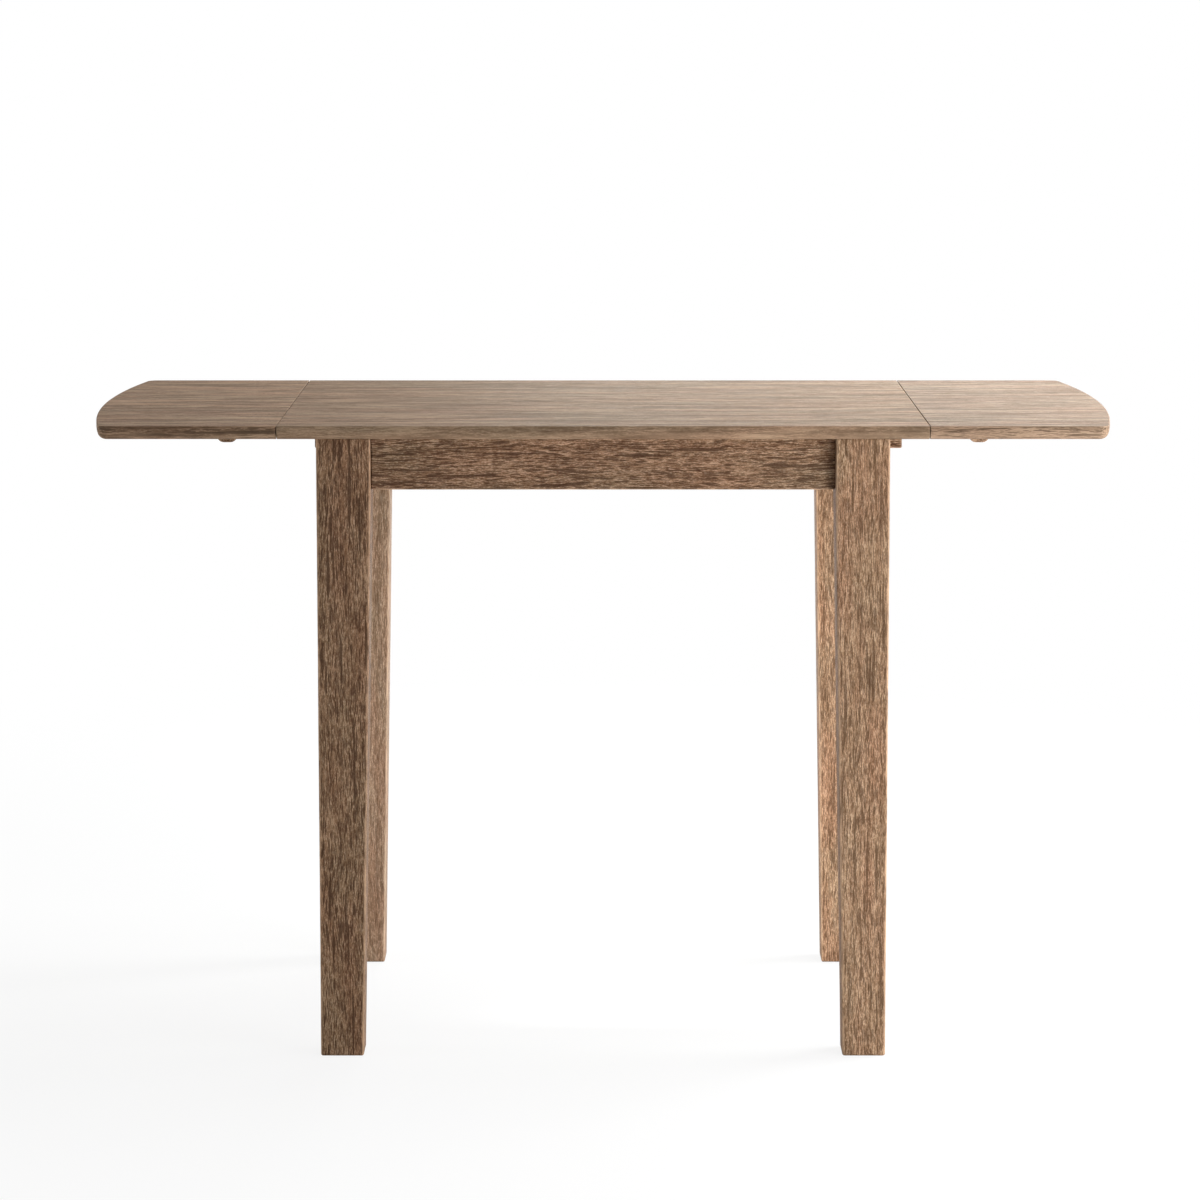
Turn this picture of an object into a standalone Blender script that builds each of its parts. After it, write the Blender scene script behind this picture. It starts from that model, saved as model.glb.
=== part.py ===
"""Drop-leaf dining table with two hinged leaves and pull-out wooden leaf supports.

Metres, +Z up. The origin lies on the floor under the middle of the table. +X runs along the
table's length and -Y is its front. The leaves are modelled raised and the supports pushed in.
"""
import math

import bmesh
import bpy
from mathutils import Matrix, Vector

# Driving dimensions of the top
TABLE_HEIGHT = 0.756
TOP_THICKNESS = 0.016
TOP_DEPTH = 0.610
CENTRE_LENGTH = 0.762
LEAF_WIDTH = 0.230
SEAM_GAP = 0.001
LEAF_BOW = 0.023
LEAF_CORNER_RADIUS = 0.013
EDGE_ROUND = 0.0095
EDGE_EASE = 0.0012

# Driving dimensions of the legs and aprons
LEG_SIZE = 0.0635
LEG_FOOT_SIZE = 0.051
LEG_END_INSET = 0.0447
LEG_FRONT_INSET = 0.0205
LEG_EDGE_RADIUS = 0.0025
TAPER_DROP = 0.010
APRON_HEIGHT = 0.062
APRON_THICKNESS = 0.020
APRON_SETBACK = 0.012
APRON_EASE = 0.0012

# Corner blocks and the bolts that draw the legs against them
BLOCK_THICKNESS = 0.022
BLOCK_LEG_GAP = 0.005
BLOCK_LIFT = 0.003
BLOCK_KEEPER_GAP = 0.004
BOLT_DIAMETER = 0.008
BOLT_LEG_DEPTH = 0.040
BOLT_POINT = 0.006
BOLT_TAIL = 0.006
NUT_WALL = 0.0022
NUT_HEIGHT = 0.0065
WASHER_RIM = 0.005
WASHER_THICKNESS = 0.0016

# Cleats that hold the centre top to the long aprons
CLEAT_LENGTH = 0.300
CLEAT_DEPTH = 0.018
CLEAT_HEIGHT = 0.020

# Lopers, the sliding leaf supports, with their keepers, pegs and stops
LOPER_WIDTH = 0.032
LOPER_HEIGHT = 0.018
LOPER_EASE = 0.0015
LOPER_TOP_GAP = 0.0005
LOPER_LEG_GAP = 0.0015
LOPER_CLEARANCE = 0.0004
LOPER_SHOW = {"left": 0.0053, "right": 0.0177}
KEEPER_LENGTH = 0.025
KEEPER_WALL = 0.009
KEEPER_FLOOR = 0.008
KEEPER_SETBACK = 0.074
PEG_DIAMETER = 0.007
PEG_DROP = 0.006
PEG_END = 0.008
PEG_TOP_DEPTH = 0.003
STOP_LENGTH = 0.024
STOP_WIDTH = 0.032
STOP_HEIGHT = 0.0112
STOP_ROUND = 0.005
STOP_REACH = 0.0635
STOP_GAP = 0.0005

# Back-flap hinges under the two seams
HINGE_OFFSET = 0.110
HINGE_LENGTH = 0.050
HINGE_FLAP = 0.030
HINGE_PLATE = 0.002
MIDDLE_KNUCKLE = 0.020
KNUCKLE_WALL = 0.0015
KNUCKLE_GAP = 0.0003
KNUCKLE_TURN_GAP = 0.0005
KNUCKLE_LAP = math.radians(15)
PIN_RADIUS = 0.0016
PIN_CLEARANCE = 0.0001
PIN_TAIL = 0.0006

# Clearance between pieces that are glued, screwed or seated together
FIT = 0.0003

# Facet counts of the round stretches
ROUND_SIDES = 16
NUT_SIDES = 6
EDGE_STEPS = 6
CORNER_STEPS = 6
BOW_STEPS = 20
EASE_STEPS = 2

# Places worked out from the driving dimensions
UNDERSIDE = TABLE_HEIGHT - TOP_THICKNESS
SEAT = UNDERSIDE - FIT
HALF_CENTRE = CENTRE_LENGTH / 2
HALF_DEPTH = TOP_DEPTH / 2
LEAF_START = HALF_CENTRE + SEAM_GAP
LEG_FACE_X = HALF_CENTRE - LEG_END_INSET
LEG_FACE_Y = HALF_DEPTH - LEG_FRONT_INSET
LEG_X = LEG_FACE_X - LEG_SIZE / 2
LEG_Y = LEG_FACE_Y - LEG_SIZE / 2
LEG_INNER_X = LEG_FACE_X - LEG_SIZE
LEG_INNER_Y = LEG_FACE_Y - LEG_SIZE
APRON_BOTTOM = UNDERSIDE - APRON_HEIGHT
APRON_INNER = APRON_SETBACK + APRON_THICKNESS

LOPER_TOP = UNDERSIDE - LOPER_TOP_GAP
LOPER_BOTTOM = LOPER_TOP - LOPER_HEIGHT
LOPER_OUTER_Y = LEG_INNER_Y - LOPER_LEG_GAP
LOPER_Y = LOPER_OUTER_Y - LOPER_WIDTH / 2
CHANNEL_FLOOR = LOPER_BOTTOM - LOPER_CLEARANCE
CHANNEL_HALF = LOPER_WIDTH / 2 + LOPER_CLEARANCE
KEEPER_BOTTOM = CHANNEL_FLOOR - KEEPER_FLOOR
KEEPER_OUTER_X = LEG_FACE_X - APRON_INNER - KEEPER_SETBACK
KEEPER_INNER_X = KEEPER_OUTER_X - KEEPER_LENGTH
STOP_X = LEAF_START + STOP_REACH
LOPER_FULL_REACH = STOP_X - STOP_LENGTH / 2 - STOP_GAP
LOPER_TAIL_AT_REACH = KEEPER_INNER_X - STOP_GAP - PEG_DIAMETER - PEG_END
LOPER_LENGTH = LOPER_FULL_REACH - LOPER_TAIL_AT_REACH

BLOCK_BOTTOM = APRON_BOTTOM + BLOCK_LIFT
BLOCK_TOP = KEEPER_BOTTOM - BLOCK_KEEPER_GAP
BOLT_Z = (BLOCK_BOTTOM + BLOCK_TOP) / 2
BOLT_BORE = BOLT_DIAMETER / 2 + FIT
LEG_CORNER = LEG_SIZE / math.sqrt(2)
BLOCK_NEAR = LEG_CORNER + BLOCK_LEG_GAP
BLOCK_FAR = BLOCK_NEAR + BLOCK_THICKNESS
WASHER_NEAR = BLOCK_FAR + FIT
NUT_NEAR = WASHER_NEAR + WASHER_THICKNESS + FIT

PIN_BORE = PIN_RADIUS + PIN_CLEARANCE
KNUCKLE_RADIUS = PIN_BORE + KNUCKLE_WALL
HINGE_X = HALF_CENTRE + SEAM_GAP / 2
HINGE_Z = SEAT - KNUCKLE_RADIUS - FIT

# Each corner assembly is one shape, turned about Z: outer faces at local -X and -Y
CORNERS = (("front_left", -1, -1, 0.0), ("front_right", 1, -1, 0.5 * math.pi),
           ("back_right", 1, 1, math.pi), ("back_left", -1, 1, 1.5 * math.pi))


def clear_scene():
    """Remove every object of the open file."""
    for item in list(bpy.data.objects):
        bpy.data.objects.remove(item, do_unlink=True)


def make_material(name, colour, roughness, metallic=0.0):
    """One Principled finish: linear colour, roughness and metallic value."""
    material = bpy.data.materials.new(name)
    material.use_nodes = True
    shader = material.node_tree.nodes["Principled BSDF"]
    shader.inputs["Base Color"].default_value = (*colour, 1.0)
    shader.inputs["Roughness"].default_value = roughness
    shader.inputs["Metallic"].default_value = metallic
    return material


def add_empty(name, location, turn=0.0):
    """A pivot or corner frame that carries pieces."""
    empty = bpy.data.objects.new(name, None)
    empty.location = location
    empty.rotation_euler.z = turn
    bpy.context.collection.objects.link(empty)
    return empty


def add_piece(name, bm, material, location=(0.0, 0.0, 0.0), parent=None):
    """Turn a bmesh into a named object with its own copy of the finish."""
    bmesh.ops.recalc_face_normals(bm, faces=bm.faces)
    mesh = bpy.data.meshes.new(name)
    bm.to_mesh(mesh)
    bm.free()
    piece = bpy.data.objects.new(name, mesh)
    if material:
        finish = material.copy()
        finish.name = name
        mesh.materials.append(finish)
    piece.location = location
    piece.parent = parent
    bpy.context.collection.objects.link(piece)
    return piece


def combine(host, name, bm, operation):
    """Add a Boolean to host; the tool's shape lies in host's own coordinates."""
    tool = add_piece(f"{host.name}_{name}", bm, None, parent=host)
    tool.hide_render = True
    tool.display_type = "WIRE"
    step = host.modifiers.new(name, "BOOLEAN")
    step.operation = operation
    step.solver = "EXACT"
    step.object = tool


def ease_edges(piece, width, segments):
    """Round every sharp edge of a piece by width."""
    step = piece.modifiers.new("eased edges", "BEVEL")
    step.width = width
    step.segments = segments
    step.limit_method = "ANGLE"
    step.angle_limit = math.radians(30)


def smooth(piece):
    """Shade the round faces of a turned piece smooth."""
    piece.data.shade_smooth()
    piece.data.set_sharp_from_angle(angle=math.radians(35))


def loft(rings):
    """Join equal rings of points into one closed skin with flat ends."""
    bm = bmesh.new()
    loops = [[bm.verts.new(point) for point in ring] for ring in rings]
    count = len(loops[0])
    for low, high in zip(loops, loops[1:]):
        for i in range(count):
            j = (i + 1) % count
            bm.faces.new((low[i], low[j], high[j], high[i]))
    bm.faces.new(loops[0])
    bm.faces.new(loops[-1])
    return bm


def prism(outline, axis, start, end):
    """Carry a flat outline along X, Y or Z from start to end."""
    place = {"X": lambda a, b, s: (s, a, b),
             "Y": lambda a, b, s: (a, s, b),
             "Z": lambda a, b, s: (a, b, s)}[axis]
    return loft([[place(a, b, s) for a, b in outline] for s in (start, end)])


def box(low, high):
    """A block between two opposite corners."""
    outline = ((low[0], low[1]), (high[0], low[1]), (high[0], high[1]), (low[0], high[1]))
    return prism(outline, "Z", low[2], high[2])


def rod(start, end, radius, sides=ROUND_SIDES):
    """A round bar, or one with flat sides, from start to end."""
    start, end = Vector(start), Vector(end)
    run = end - start
    turn = run.to_track_quat("Z", "Y").to_matrix().to_4x4()
    bm = bmesh.new()
    bmesh.ops.create_cone(bm, cap_ends=True, segments=sides, radius1=radius, radius2=radius,
                          depth=run.length, matrix=Matrix.Translation((start + end) / 2) @ turn)
    return bm


def turned_rod(direction, stations):
    """A bar turned about a line through the origin: (distance along it, radius) stations."""
    turn = direction.to_track_quat("Z", "Y").to_matrix()
    rings = []
    for distance, radius in stations:
        angles = [2 * math.pi * i / ROUND_SIDES for i in range(ROUND_SIDES)]
        rings.append([turn @ Vector((radius * math.cos(a), radius * math.sin(a), distance))
                      for a in angles])
    return loft(rings)


def arc(centre, radius, start, end, steps):
    """Points of a circular arc, both ends included."""
    angles = [start + (end - start) * i / steps for i in range(steps + 1)]
    return [(centre[0] + radius * math.cos(a), centre[1] + radius * math.sin(a)) for a in angles]


def edge_profile():
    """The top's edge from below: a round-over, a flat and an eased upper arris."""
    quarter = 0.5 * math.pi
    below = arc((EDGE_ROUND, EDGE_ROUND), EDGE_ROUND, -quarter, -2 * quarter, EDGE_STEPS)
    above = arc((EDGE_EASE, TOP_THICKNESS - EDGE_EASE), EDGE_EASE, 2 * quarter, quarter, EASE_STEPS)
    return below + above


def leaf_ring(inset):
    """A leaf's outline drawn in by inset: square at the seam, bowed at its far end.

    The bow is a circle through the leaf's two far corners and its crown. A fillet joins it to
    each long edge. Both keep their centres as the outline is drawn in.
    """
    bow_radius = (HALF_DEPTH ** 2 + LEAF_BOW ** 2) / (2 * LEAF_BOW)
    bow_x = LEAF_WIDTH - bow_radius
    fillet_y = HALF_DEPTH - LEAF_CORNER_RADIUS
    fillet_x = bow_x + math.sqrt((bow_radius - LEAF_CORNER_RADIUS) ** 2 - fillet_y ** 2)
    join = math.atan2(fillet_y, fillet_x - bow_x)
    fillet = LEAF_CORNER_RADIUS - inset
    front = arc((fillet_x, -fillet_y), fillet, -0.5 * math.pi, -join, CORNER_STEPS)
    bow = arc((bow_x, 0.0), bow_radius - inset, -join, join, BOW_STEPS)
    back = arc((fillet_x, fillet_y), fillet, join, 0.5 * math.pi, CORNER_STEPS)
    edge_y = HALF_DEPTH - inset
    return [(0.0, -edge_y)] + front + bow[1:-1] + back + [(0.0, edge_y)]


def build_top(wood):
    """The fixed centre panel: one edge section carried along the table."""
    profile = edge_profile()
    front = [(inset - HALF_DEPTH, UNDERSIDE + z) for inset, z in profile]
    back = [(HALF_DEPTH - inset, UNDERSIDE + z) for inset, z in reversed(profile)]
    add_piece("centre_top", prism(front + back, "X", -HALF_CENTRE, HALF_CENTRE), wood)


def build_leaf(side, turn, wood, steel, stop_wood):
    """One leaf with its hinge plates and stops, carried by a pivot on the hinge axis."""
    sign = -1 if turn else 1
    pivot = add_empty(f"{side}_leaf_pivot", (sign * HINGE_X, 0.0, HINGE_Z), turn)
    start = LEAF_START - HINGE_X
    rings = [[(start + x, y, UNDERSIDE - HINGE_Z + z) for x, y in leaf_ring(inset)]
             for inset, z in edge_profile()]
    add_piece(f"{side}_leaf", loft(rings), wood, parent=pivot)
    for end, end_sign in (("front", -1), ("back", 1)):
        y = end_sign * sign * LOPER_Y
        build_stop(f"{end}_{side}_leaf_stop", y, pivot, stop_wood)
        build_leaf_plate(f"{end}_{side}_hinge_leaf_plate", end_sign * sign * HINGE_OFFSET, pivot, steel)


def build_stop(name, y, pivot, wood):
    """A wooden block under the leaf, rounded below, that the pulled-out loper meets."""
    half = STOP_LENGTH / 2
    top = SEAT - HINGE_Z
    bottom = top - STOP_HEIGHT
    quarter = 0.5 * math.pi
    inner = arc((STOP_ROUND - half, bottom + STOP_ROUND), STOP_ROUND, 2 * quarter, 3 * quarter, EDGE_STEPS)
    outer = arc((half - STOP_ROUND, bottom + STOP_ROUND), STOP_ROUND, 3 * quarter, 4 * quarter, EDGE_STEPS)
    outline = [(-half, top)] + inner + outer + [(half, top)]
    block = prism(outline, "Y", -STOP_WIDTH / 2, STOP_WIDTH / 2)
    add_piece(name, block, wood, (STOP_X - HINGE_X, y, 0.0), pivot)


def rolled_knuckle(side):
    """Section of a flap's end, rolled round the pin from above with a slit where it closes."""
    reach = side * 2 * (KNUCKLE_RADIUS + KNUCKLE_TURN_GAP)
    top = 0.5 * math.pi
    finish = top + side * (1.5 * math.pi + KNUCKLE_LAP)
    outside = arc((0.0, 0.0), KNUCKLE_RADIUS, top, finish, ROUND_SIDES)
    inside = arc((0.0, 0.0), PIN_BORE, finish, top, ROUND_SIDES)
    return [(reach, KNUCKLE_RADIUS)] + outside + inside + [(reach, PIN_BORE)]


def hinge_plate(name, side, knuckles, location, parent, steel):
    """One flap of a hinge: it reaches to +X or -X of the pin and carries its own knuckles."""
    top = SEAT - HINGE_Z
    ends = sorted((side * (KNUCKLE_RADIUS + KNUCKLE_TURN_GAP), side * HINGE_FLAP))
    half = HINGE_LENGTH / 2
    flap = box((ends[0], -half, top - HINGE_PLATE), (ends[1], half, top))
    plate = add_piece(name, flap, steel, location, parent)
    for i, (low, high) in enumerate(knuckles):
        combine(plate, f"knuckle_{i}", prism(rolled_knuckle(side), "Y", low, high), "UNION")


def build_leaf_plate(name, y, pivot, steel):
    """The moving flap, with the middle knuckle."""
    half = MIDDLE_KNUCKLE / 2
    hinge_plate(name, 1, ((-half, half),), (0.0, y, 0.0), pivot, steel)


def build_fixed_hinges(steel):
    """The fixed flaps with the two outer knuckles, and the pins."""
    near = MIDDLE_KNUCKLE / 2 + KNUCKLE_GAP
    far = HINGE_LENGTH / 2 - KNUCKLE_GAP
    tail = HINGE_LENGTH / 2 + PIN_TAIL
    for end, end_sign in (("front", -1), ("back", 1)):
        for side, sign in (("left", -1), ("right", 1)):
            place = (sign * HINGE_X, end_sign * HINGE_OFFSET, HINGE_Z)
            name = f"{end}_{side}_hinge"
            hinge_plate(f"{name}_top_plate", -sign, ((-far, -near), (near, far)), place, None, steel)
            pin = rod((0.0, -tail, 0.0), (0.0, tail, 0.0), PIN_RADIUS)
            smooth(add_piece(f"{name}_pin", pin, steel, place))


def build_corner(name, sign_x, sign_y, turn, finishes):
    """A leg with its corner block, hanger bolt, washer and nut, in a frame on the leg's axis."""
    corner = add_empty(f"{name}_corner", (sign_x * LEG_X, sign_y * LEG_Y, 0.0), turn)
    inward = Vector((1.0, 1.0, 0.0)).normalized()
    rise = Vector((0.0, 0.0, BOLT_Z))
    bolt_start = LEG_CORNER - BOLT_LEG_DEPTH
    bolt_end = NUT_NEAR + NUT_HEIGHT + BOLT_TAIL

    outer = -LEG_SIZE / 2
    rings = []
    for z, size in ((0.0, LEG_FOOT_SIZE), (APRON_BOTTOM - TAPER_DROP, LEG_SIZE), (SEAT, LEG_SIZE)):
        inner = outer + size
        rings.append(((outer, outer, z), (inner, outer, z), (inner, inner, z), (outer, inner, z)))
    leg = add_piece(f"{name}_leg", loft(rings), finishes["frame"], parent=corner)
    ease_edges(leg, LEG_EDGE_RADIUS, 2)
    hole = rod(inward * (bolt_start - FIT) + rise, inward * 2 * BLOCK_FAR + rise, BOLT_BORE)
    combine(leg, "bolt_hole", hole, "DIFFERENCE")

    face = outer + APRON_INNER + FIT
    near, far = (math.sqrt(2) * distance - face for distance in (BLOCK_NEAR, BLOCK_FAR))
    outline = ((near, face), (far, face), (face, far), (face, near))
    block = add_piece(f"{name}_corner_block", prism(outline, "Z", BLOCK_BOTTOM, BLOCK_TOP),
                      finishes["inner"], parent=corner)
    hole = rod(rise, inward * 2 * BLOCK_FAR + rise, BOLT_BORE)
    combine(block, "bolt_hole", hole, "DIFFERENCE")

    radius = BOLT_DIAMETER / 2
    stations = ((bolt_start, radius / 4), (bolt_start + BOLT_POINT, radius), (bolt_end, radius))
    bolt = add_piece(f"{name}_leg_bolt", turned_rod(inward, stations), finishes["steel"], rise, corner)
    smooth(bolt)

    build_ring(f"{name}_leg_washer", WASHER_NEAR, WASHER_THICKNESS, BOLT_BORE + WASHER_RIM,
               ROUND_SIDES, inward, rise, corner, finishes["steel"])
    nut_radius = (BOLT_BORE + NUT_WALL) / math.cos(math.pi / NUT_SIDES)
    build_ring(f"{name}_leg_nut", NUT_NEAR, NUT_HEIGHT, nut_radius, NUT_SIDES,
               inward, rise, corner, finishes["steel"])


def build_ring(name, near, thickness, radius, sides, inward, rise, corner, steel):
    """A washer or a nut round the bolt."""
    ring = add_piece(name, rod(inward * near, inward * (near + thickness), radius, sides),
                     steel, rise, corner)
    bore = rod(inward * (near - thickness), inward * (near + 2 * thickness), BOLT_BORE)
    combine(ring, "bore", bore, "DIFFERENCE")


def build_aprons(wood):
    """Two long aprons, and two end aprons notched at their upper corners for the lopers."""
    half = LEG_INNER_X - FIT
    face = LEG_FACE_Y - APRON_SETBACK
    middle = face - APRON_THICKNESS / 2
    for name, sign in (("front_apron", -1), ("back_apron", 1)):
        low = (-half, -APRON_THICKNESS / 2, APRON_BOTTOM)
        apron = add_piece(name, box(low, (half, APRON_THICKNESS / 2, SEAT)), wood, (0.0, sign * middle, 0.0))
        ease_edges(apron, APRON_EASE, 1)

    end = LEG_INNER_Y - FIT
    notch = LOPER_Y - CHANNEL_HALF
    outline = ((-end, APRON_BOTTOM), (end, APRON_BOTTOM), (end, CHANNEL_FLOOR), (notch, CHANNEL_FLOOR),
               (notch, SEAT), (-notch, SEAT), (-notch, CHANNEL_FLOOR), (-end, CHANNEL_FLOOR))
    middle = LEG_FACE_X - APRON_SETBACK - APRON_THICKNESS / 2
    for name, sign in (("left_apron", -1), ("right_apron", 1)):
        plate = prism(outline, "X", -APRON_THICKNESS / 2, APRON_THICKNESS / 2)
        apron = add_piece(name, plate, wood, (sign * middle, 0.0, 0.0))
        ease_edges(apron, APRON_EASE, 1)


def build_cleats(wood):
    """Strips in the corner of the long aprons and the top, which hold the top down."""
    half = CLEAT_LENGTH / 2
    face = LEG_FACE_Y - APRON_INNER - FIT
    for name, sign in (("front_cleat", -1), ("back_cleat", 1)):
        low = (-half, -CLEAT_DEPTH / 2, SEAT - CLEAT_HEIGHT)
        cleat = add_piece(name, box(low, (half, CLEAT_DEPTH / 2, SEAT)), wood,
                          (0.0, sign * (face - CLEAT_DEPTH / 2), 0.0))
        ease_edges(cleat, APRON_EASE, 1)


def build_loper(name, side, sign_x, sign_y, wood, peg_wood):
    """A sliding support, its tail peg and the keeper that it runs in.

    The loper's origin is at the middle of its outer end, on the line that it slides along.
    """
    end_x = LEG_FACE_X + LOPER_SHOW[side]
    middle_z = (LOPER_TOP + LOPER_BOTTOM) / 2
    half_width, half_height = LOPER_WIDTH / 2, LOPER_HEIGHT / 2
    ends = sorted((0.0, -sign_x * LOPER_LENGTH))
    bar = box((ends[0], -half_width, -half_height), (ends[1], half_width, half_height))
    loper = add_piece(name, bar, wood, (sign_x * end_x, sign_y * LOPER_Y, middle_z))
    ease_edges(loper, LOPER_EASE, 2)
    peg_x = -sign_x * (LOPER_LENGTH - PEG_END - PEG_DIAMETER / 2)
    hole = rod((peg_x, 0.0, -LOPER_HEIGHT), (peg_x, 0.0, half_height - PEG_TOP_DEPTH + FIT),
               PEG_DIAMETER / 2 + FIT)
    combine(loper, "peg_hole", hole, "DIFFERENCE")
    peg = rod((peg_x, 0.0, -half_height - PEG_DROP), (peg_x, 0.0, half_height - PEG_TOP_DEPTH),
              PEG_DIAMETER / 2)
    smooth(add_piece(f"{name}_peg", peg, peg_wood, parent=loper))

    wide = CHANNEL_HALF + KEEPER_WALL
    inside = CHANNEL_HALF
    outline = ((-wide, KEEPER_BOTTOM), (wide, KEEPER_BOTTOM), (wide, SEAT), (inside, SEAT),
               (inside, CHANNEL_FLOOR), (-inside, CHANNEL_FLOOR), (-inside, SEAT), (-wide, SEAT))
    keeper = prism(outline, "X", -KEEPER_LENGTH / 2, KEEPER_LENGTH / 2)
    middle_x = (KEEPER_OUTER_X + KEEPER_INNER_X) / 2
    add_piece(f"{name}_keeper", keeper, peg_wood, (sign_x * middle_x, sign_y * LOPER_Y, 0.0))


def main():
    """Build the whole table."""
    clear_scene()
    top_wood = make_material("top_wood", (0.35, 0.27, 0.20), 0.55)
    steel = make_material("steel", (0.45, 0.43, 0.40), 0.35, 1.0)
    finishes = {"frame": make_material("frame_wood", (0.20, 0.125, 0.075), 0.60),
                "inner": make_material("inner_wood", (0.38, 0.26, 0.16), 0.70),
                "steel": steel}
    build_top(top_wood)
    build_leaf("right", 0.0, top_wood, steel, finishes["frame"])
    build_leaf("left", math.pi, top_wood, steel, finishes["frame"])
    build_fixed_hinges(steel)
    build_aprons(finishes["frame"])
    build_cleats(finishes["inner"])
    for name, sign_x, sign_y, turn in CORNERS:
        build_corner(name, sign_x, sign_y, turn, finishes)
        side = name.split("_")[1]
        build_loper(f"{name}_loper", side, sign_x, sign_y, finishes["frame"], finishes["inner"])


main()
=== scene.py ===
"""Looks of a drop-leaf dining table: stained open-pored wood, steel hinges and bolts, and a white studio."""
import math
from collections import namedtuple

import bpy
import numpy as np
from bpy.props import FloatProperty, FloatVectorProperty, PointerProperty
from bpy.types import Operator, Panel, PropertyGroup
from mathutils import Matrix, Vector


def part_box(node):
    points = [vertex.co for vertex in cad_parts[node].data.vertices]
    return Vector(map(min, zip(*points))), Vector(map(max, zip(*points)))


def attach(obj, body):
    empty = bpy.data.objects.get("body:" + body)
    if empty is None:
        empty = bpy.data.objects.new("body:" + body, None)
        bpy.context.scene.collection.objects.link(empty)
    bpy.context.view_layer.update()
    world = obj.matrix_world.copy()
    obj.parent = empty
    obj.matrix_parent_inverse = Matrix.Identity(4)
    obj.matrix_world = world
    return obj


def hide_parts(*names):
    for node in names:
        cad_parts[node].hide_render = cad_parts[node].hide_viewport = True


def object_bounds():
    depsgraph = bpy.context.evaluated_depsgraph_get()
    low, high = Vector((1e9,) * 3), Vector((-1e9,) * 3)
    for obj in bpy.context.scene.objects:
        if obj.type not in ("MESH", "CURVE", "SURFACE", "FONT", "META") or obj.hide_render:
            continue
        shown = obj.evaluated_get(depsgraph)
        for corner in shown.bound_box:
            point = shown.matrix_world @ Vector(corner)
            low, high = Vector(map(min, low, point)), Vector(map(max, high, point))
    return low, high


bl_info = {
    "name": "Drop-leaf table",
    "version": (1, 0, 0),
    "blender": (4, 5, 0),
    "location": "View3D > Sidebar > Table",
    "description": "Dresses the packed frame of a drop-leaf dining table",
    "category": "Object",
}

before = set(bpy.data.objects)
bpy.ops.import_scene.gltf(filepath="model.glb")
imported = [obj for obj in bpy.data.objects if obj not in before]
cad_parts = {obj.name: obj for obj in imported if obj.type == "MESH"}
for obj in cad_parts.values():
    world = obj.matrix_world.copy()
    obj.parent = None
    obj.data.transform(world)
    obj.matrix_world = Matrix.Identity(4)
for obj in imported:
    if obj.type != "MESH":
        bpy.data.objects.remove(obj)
CAD_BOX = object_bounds()

CORNERS = ("front_left", "front_right", "back_left", "back_right")
SIDES = ("left", "right")
ENDS = ("front", "back")
TAU = 2 * math.pi
QUARTER = 0.5 * math.pi

# Rounded edges: lengths in metres, shares of a radius, waves in a metre, least wear and smoothing angle
SUPPORT = 0.0006
TINY = 1e-6
LEAST_RADIUS = 0.0003
LEAST_LEG_RADIUS = 0.0004
END_SHRINK = 0.7
LEG_WANDER, BAR_WANDER = 0.35, 0.25
LEG_WAVE = 0.00012
WAVE_PACE, WANDER_PACE = 2.5, 7.0
RATE_SPREAD = (0.7, 1.3)
LEAST_WEAR = 0.3
SHARP = math.radians(40)

# First seeds of the pieces' uneven edges, and the steps to the next piece and to a leg's radii
LEG_SEED, APRON_SEED, SLIDE_SEED, CLEAT_SEED = 40, 300, 500, 700
SEED_STEP, WANDER_SEED = 20, 10

# Screws: the way they face under the top, and their places on a hinge plate, in metres from its free
# edge and along it, and on a corner block, as shares of its length
DOWN = (0.0, 0.0, -1.0)
HINGE_SCREWS = ((0.0075, -0.0165), (0.0075, 0.0165), (0.0165, 0.0))
BLOCK_SCREWS = (0.22, 0.78)

# Screw heads, as shares of their radius
HEAD_DOME, HEAD_SKIRT, HEAD_MIDDLE = 0.22, 0.25, 0.02
SLOT_SINK, SLOT_HALF, SLOT_WALL, SLOT_REACH, SLOT_END = 0.30, 0.16, 0.10, 0.55, 0.12

# Chamfers: depths of the thread on a bolt; stations and face as shares of a nut, and its cone's slope
BOLT_CHAMFER = 1.6
NUT_STATIONS = np.array((0.6, 0.80, 0.88, 0.94, 1.0))
NUT_FACE, NUT_SLOPE = 0.96, 1.7

# Noise features in a metre, across the grain and along it
GRAIN_PACES = {
    "sway": (11.0, 11.0, 4.5), "growth": (13.0, 13.0, 0.9), "figure": (34.0, 34.0, 10.0),
    "streaks": (190.0, 190.0, 30.0), "long fibre": (900.0, 900.0, 100.0),
    "short fibre": (1500.0, 1500.0, 420.0), "crowd": (120.0, 120.0, 16.0), "tint": (32.0, 32.0, 7.0),
    "wear": (60.0, 60.0, 18.0)}
SWAY = (0.012, 0.012, 0.0)
RINGS = 80.0

# Pores: cells in a metre, reach in a cell, share of cells left empty, soft rim, and depth of the stain
PoreKind = namedtuple("PoreKind", "pace reach rare soft depth")
DASHES = PoreKind((860.0, 860.0, 60.0), 0.85, 0.0, 0.10, 1.0)
FLECKS = PoreKind((1250.0, 1250.0, 160.0), 0.85, 0.0, 0.10, 0.8)
CRACKS = PoreKind((270.0, 270.0, 11.0), 0.62, 0.45, 0.04, 1.0)

# Stain over the grain: turns to its axis, ends of the ramp, drift of the hue, lighter rubbed edges,
# relief and dullness of the pores, and the heights in which a panel's face passes into its edge
GRAIN_TURNS = {"X": (0.0, -QUARTER, 0.0), "Y": (QUARTER, 0.0, 0.0), "Z": (0.0, 0.0, 0.0)}
RAMP_ENDS = (0.18, 0.82)
HUES = ((1.04, 0.98, 0.95), (0.97, 1.015, 1.0))
RUBBED = 1.35
GRAIN_DEPTH = 0.0006
PORE_DULLNESS = 0.16
TOP_PORE = 0.4
# The same band carries the painted light and painted shade on the leaves' edges
SIDE_BLEND, SIDE_MARGIN = 0.0015, 0.0006
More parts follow.
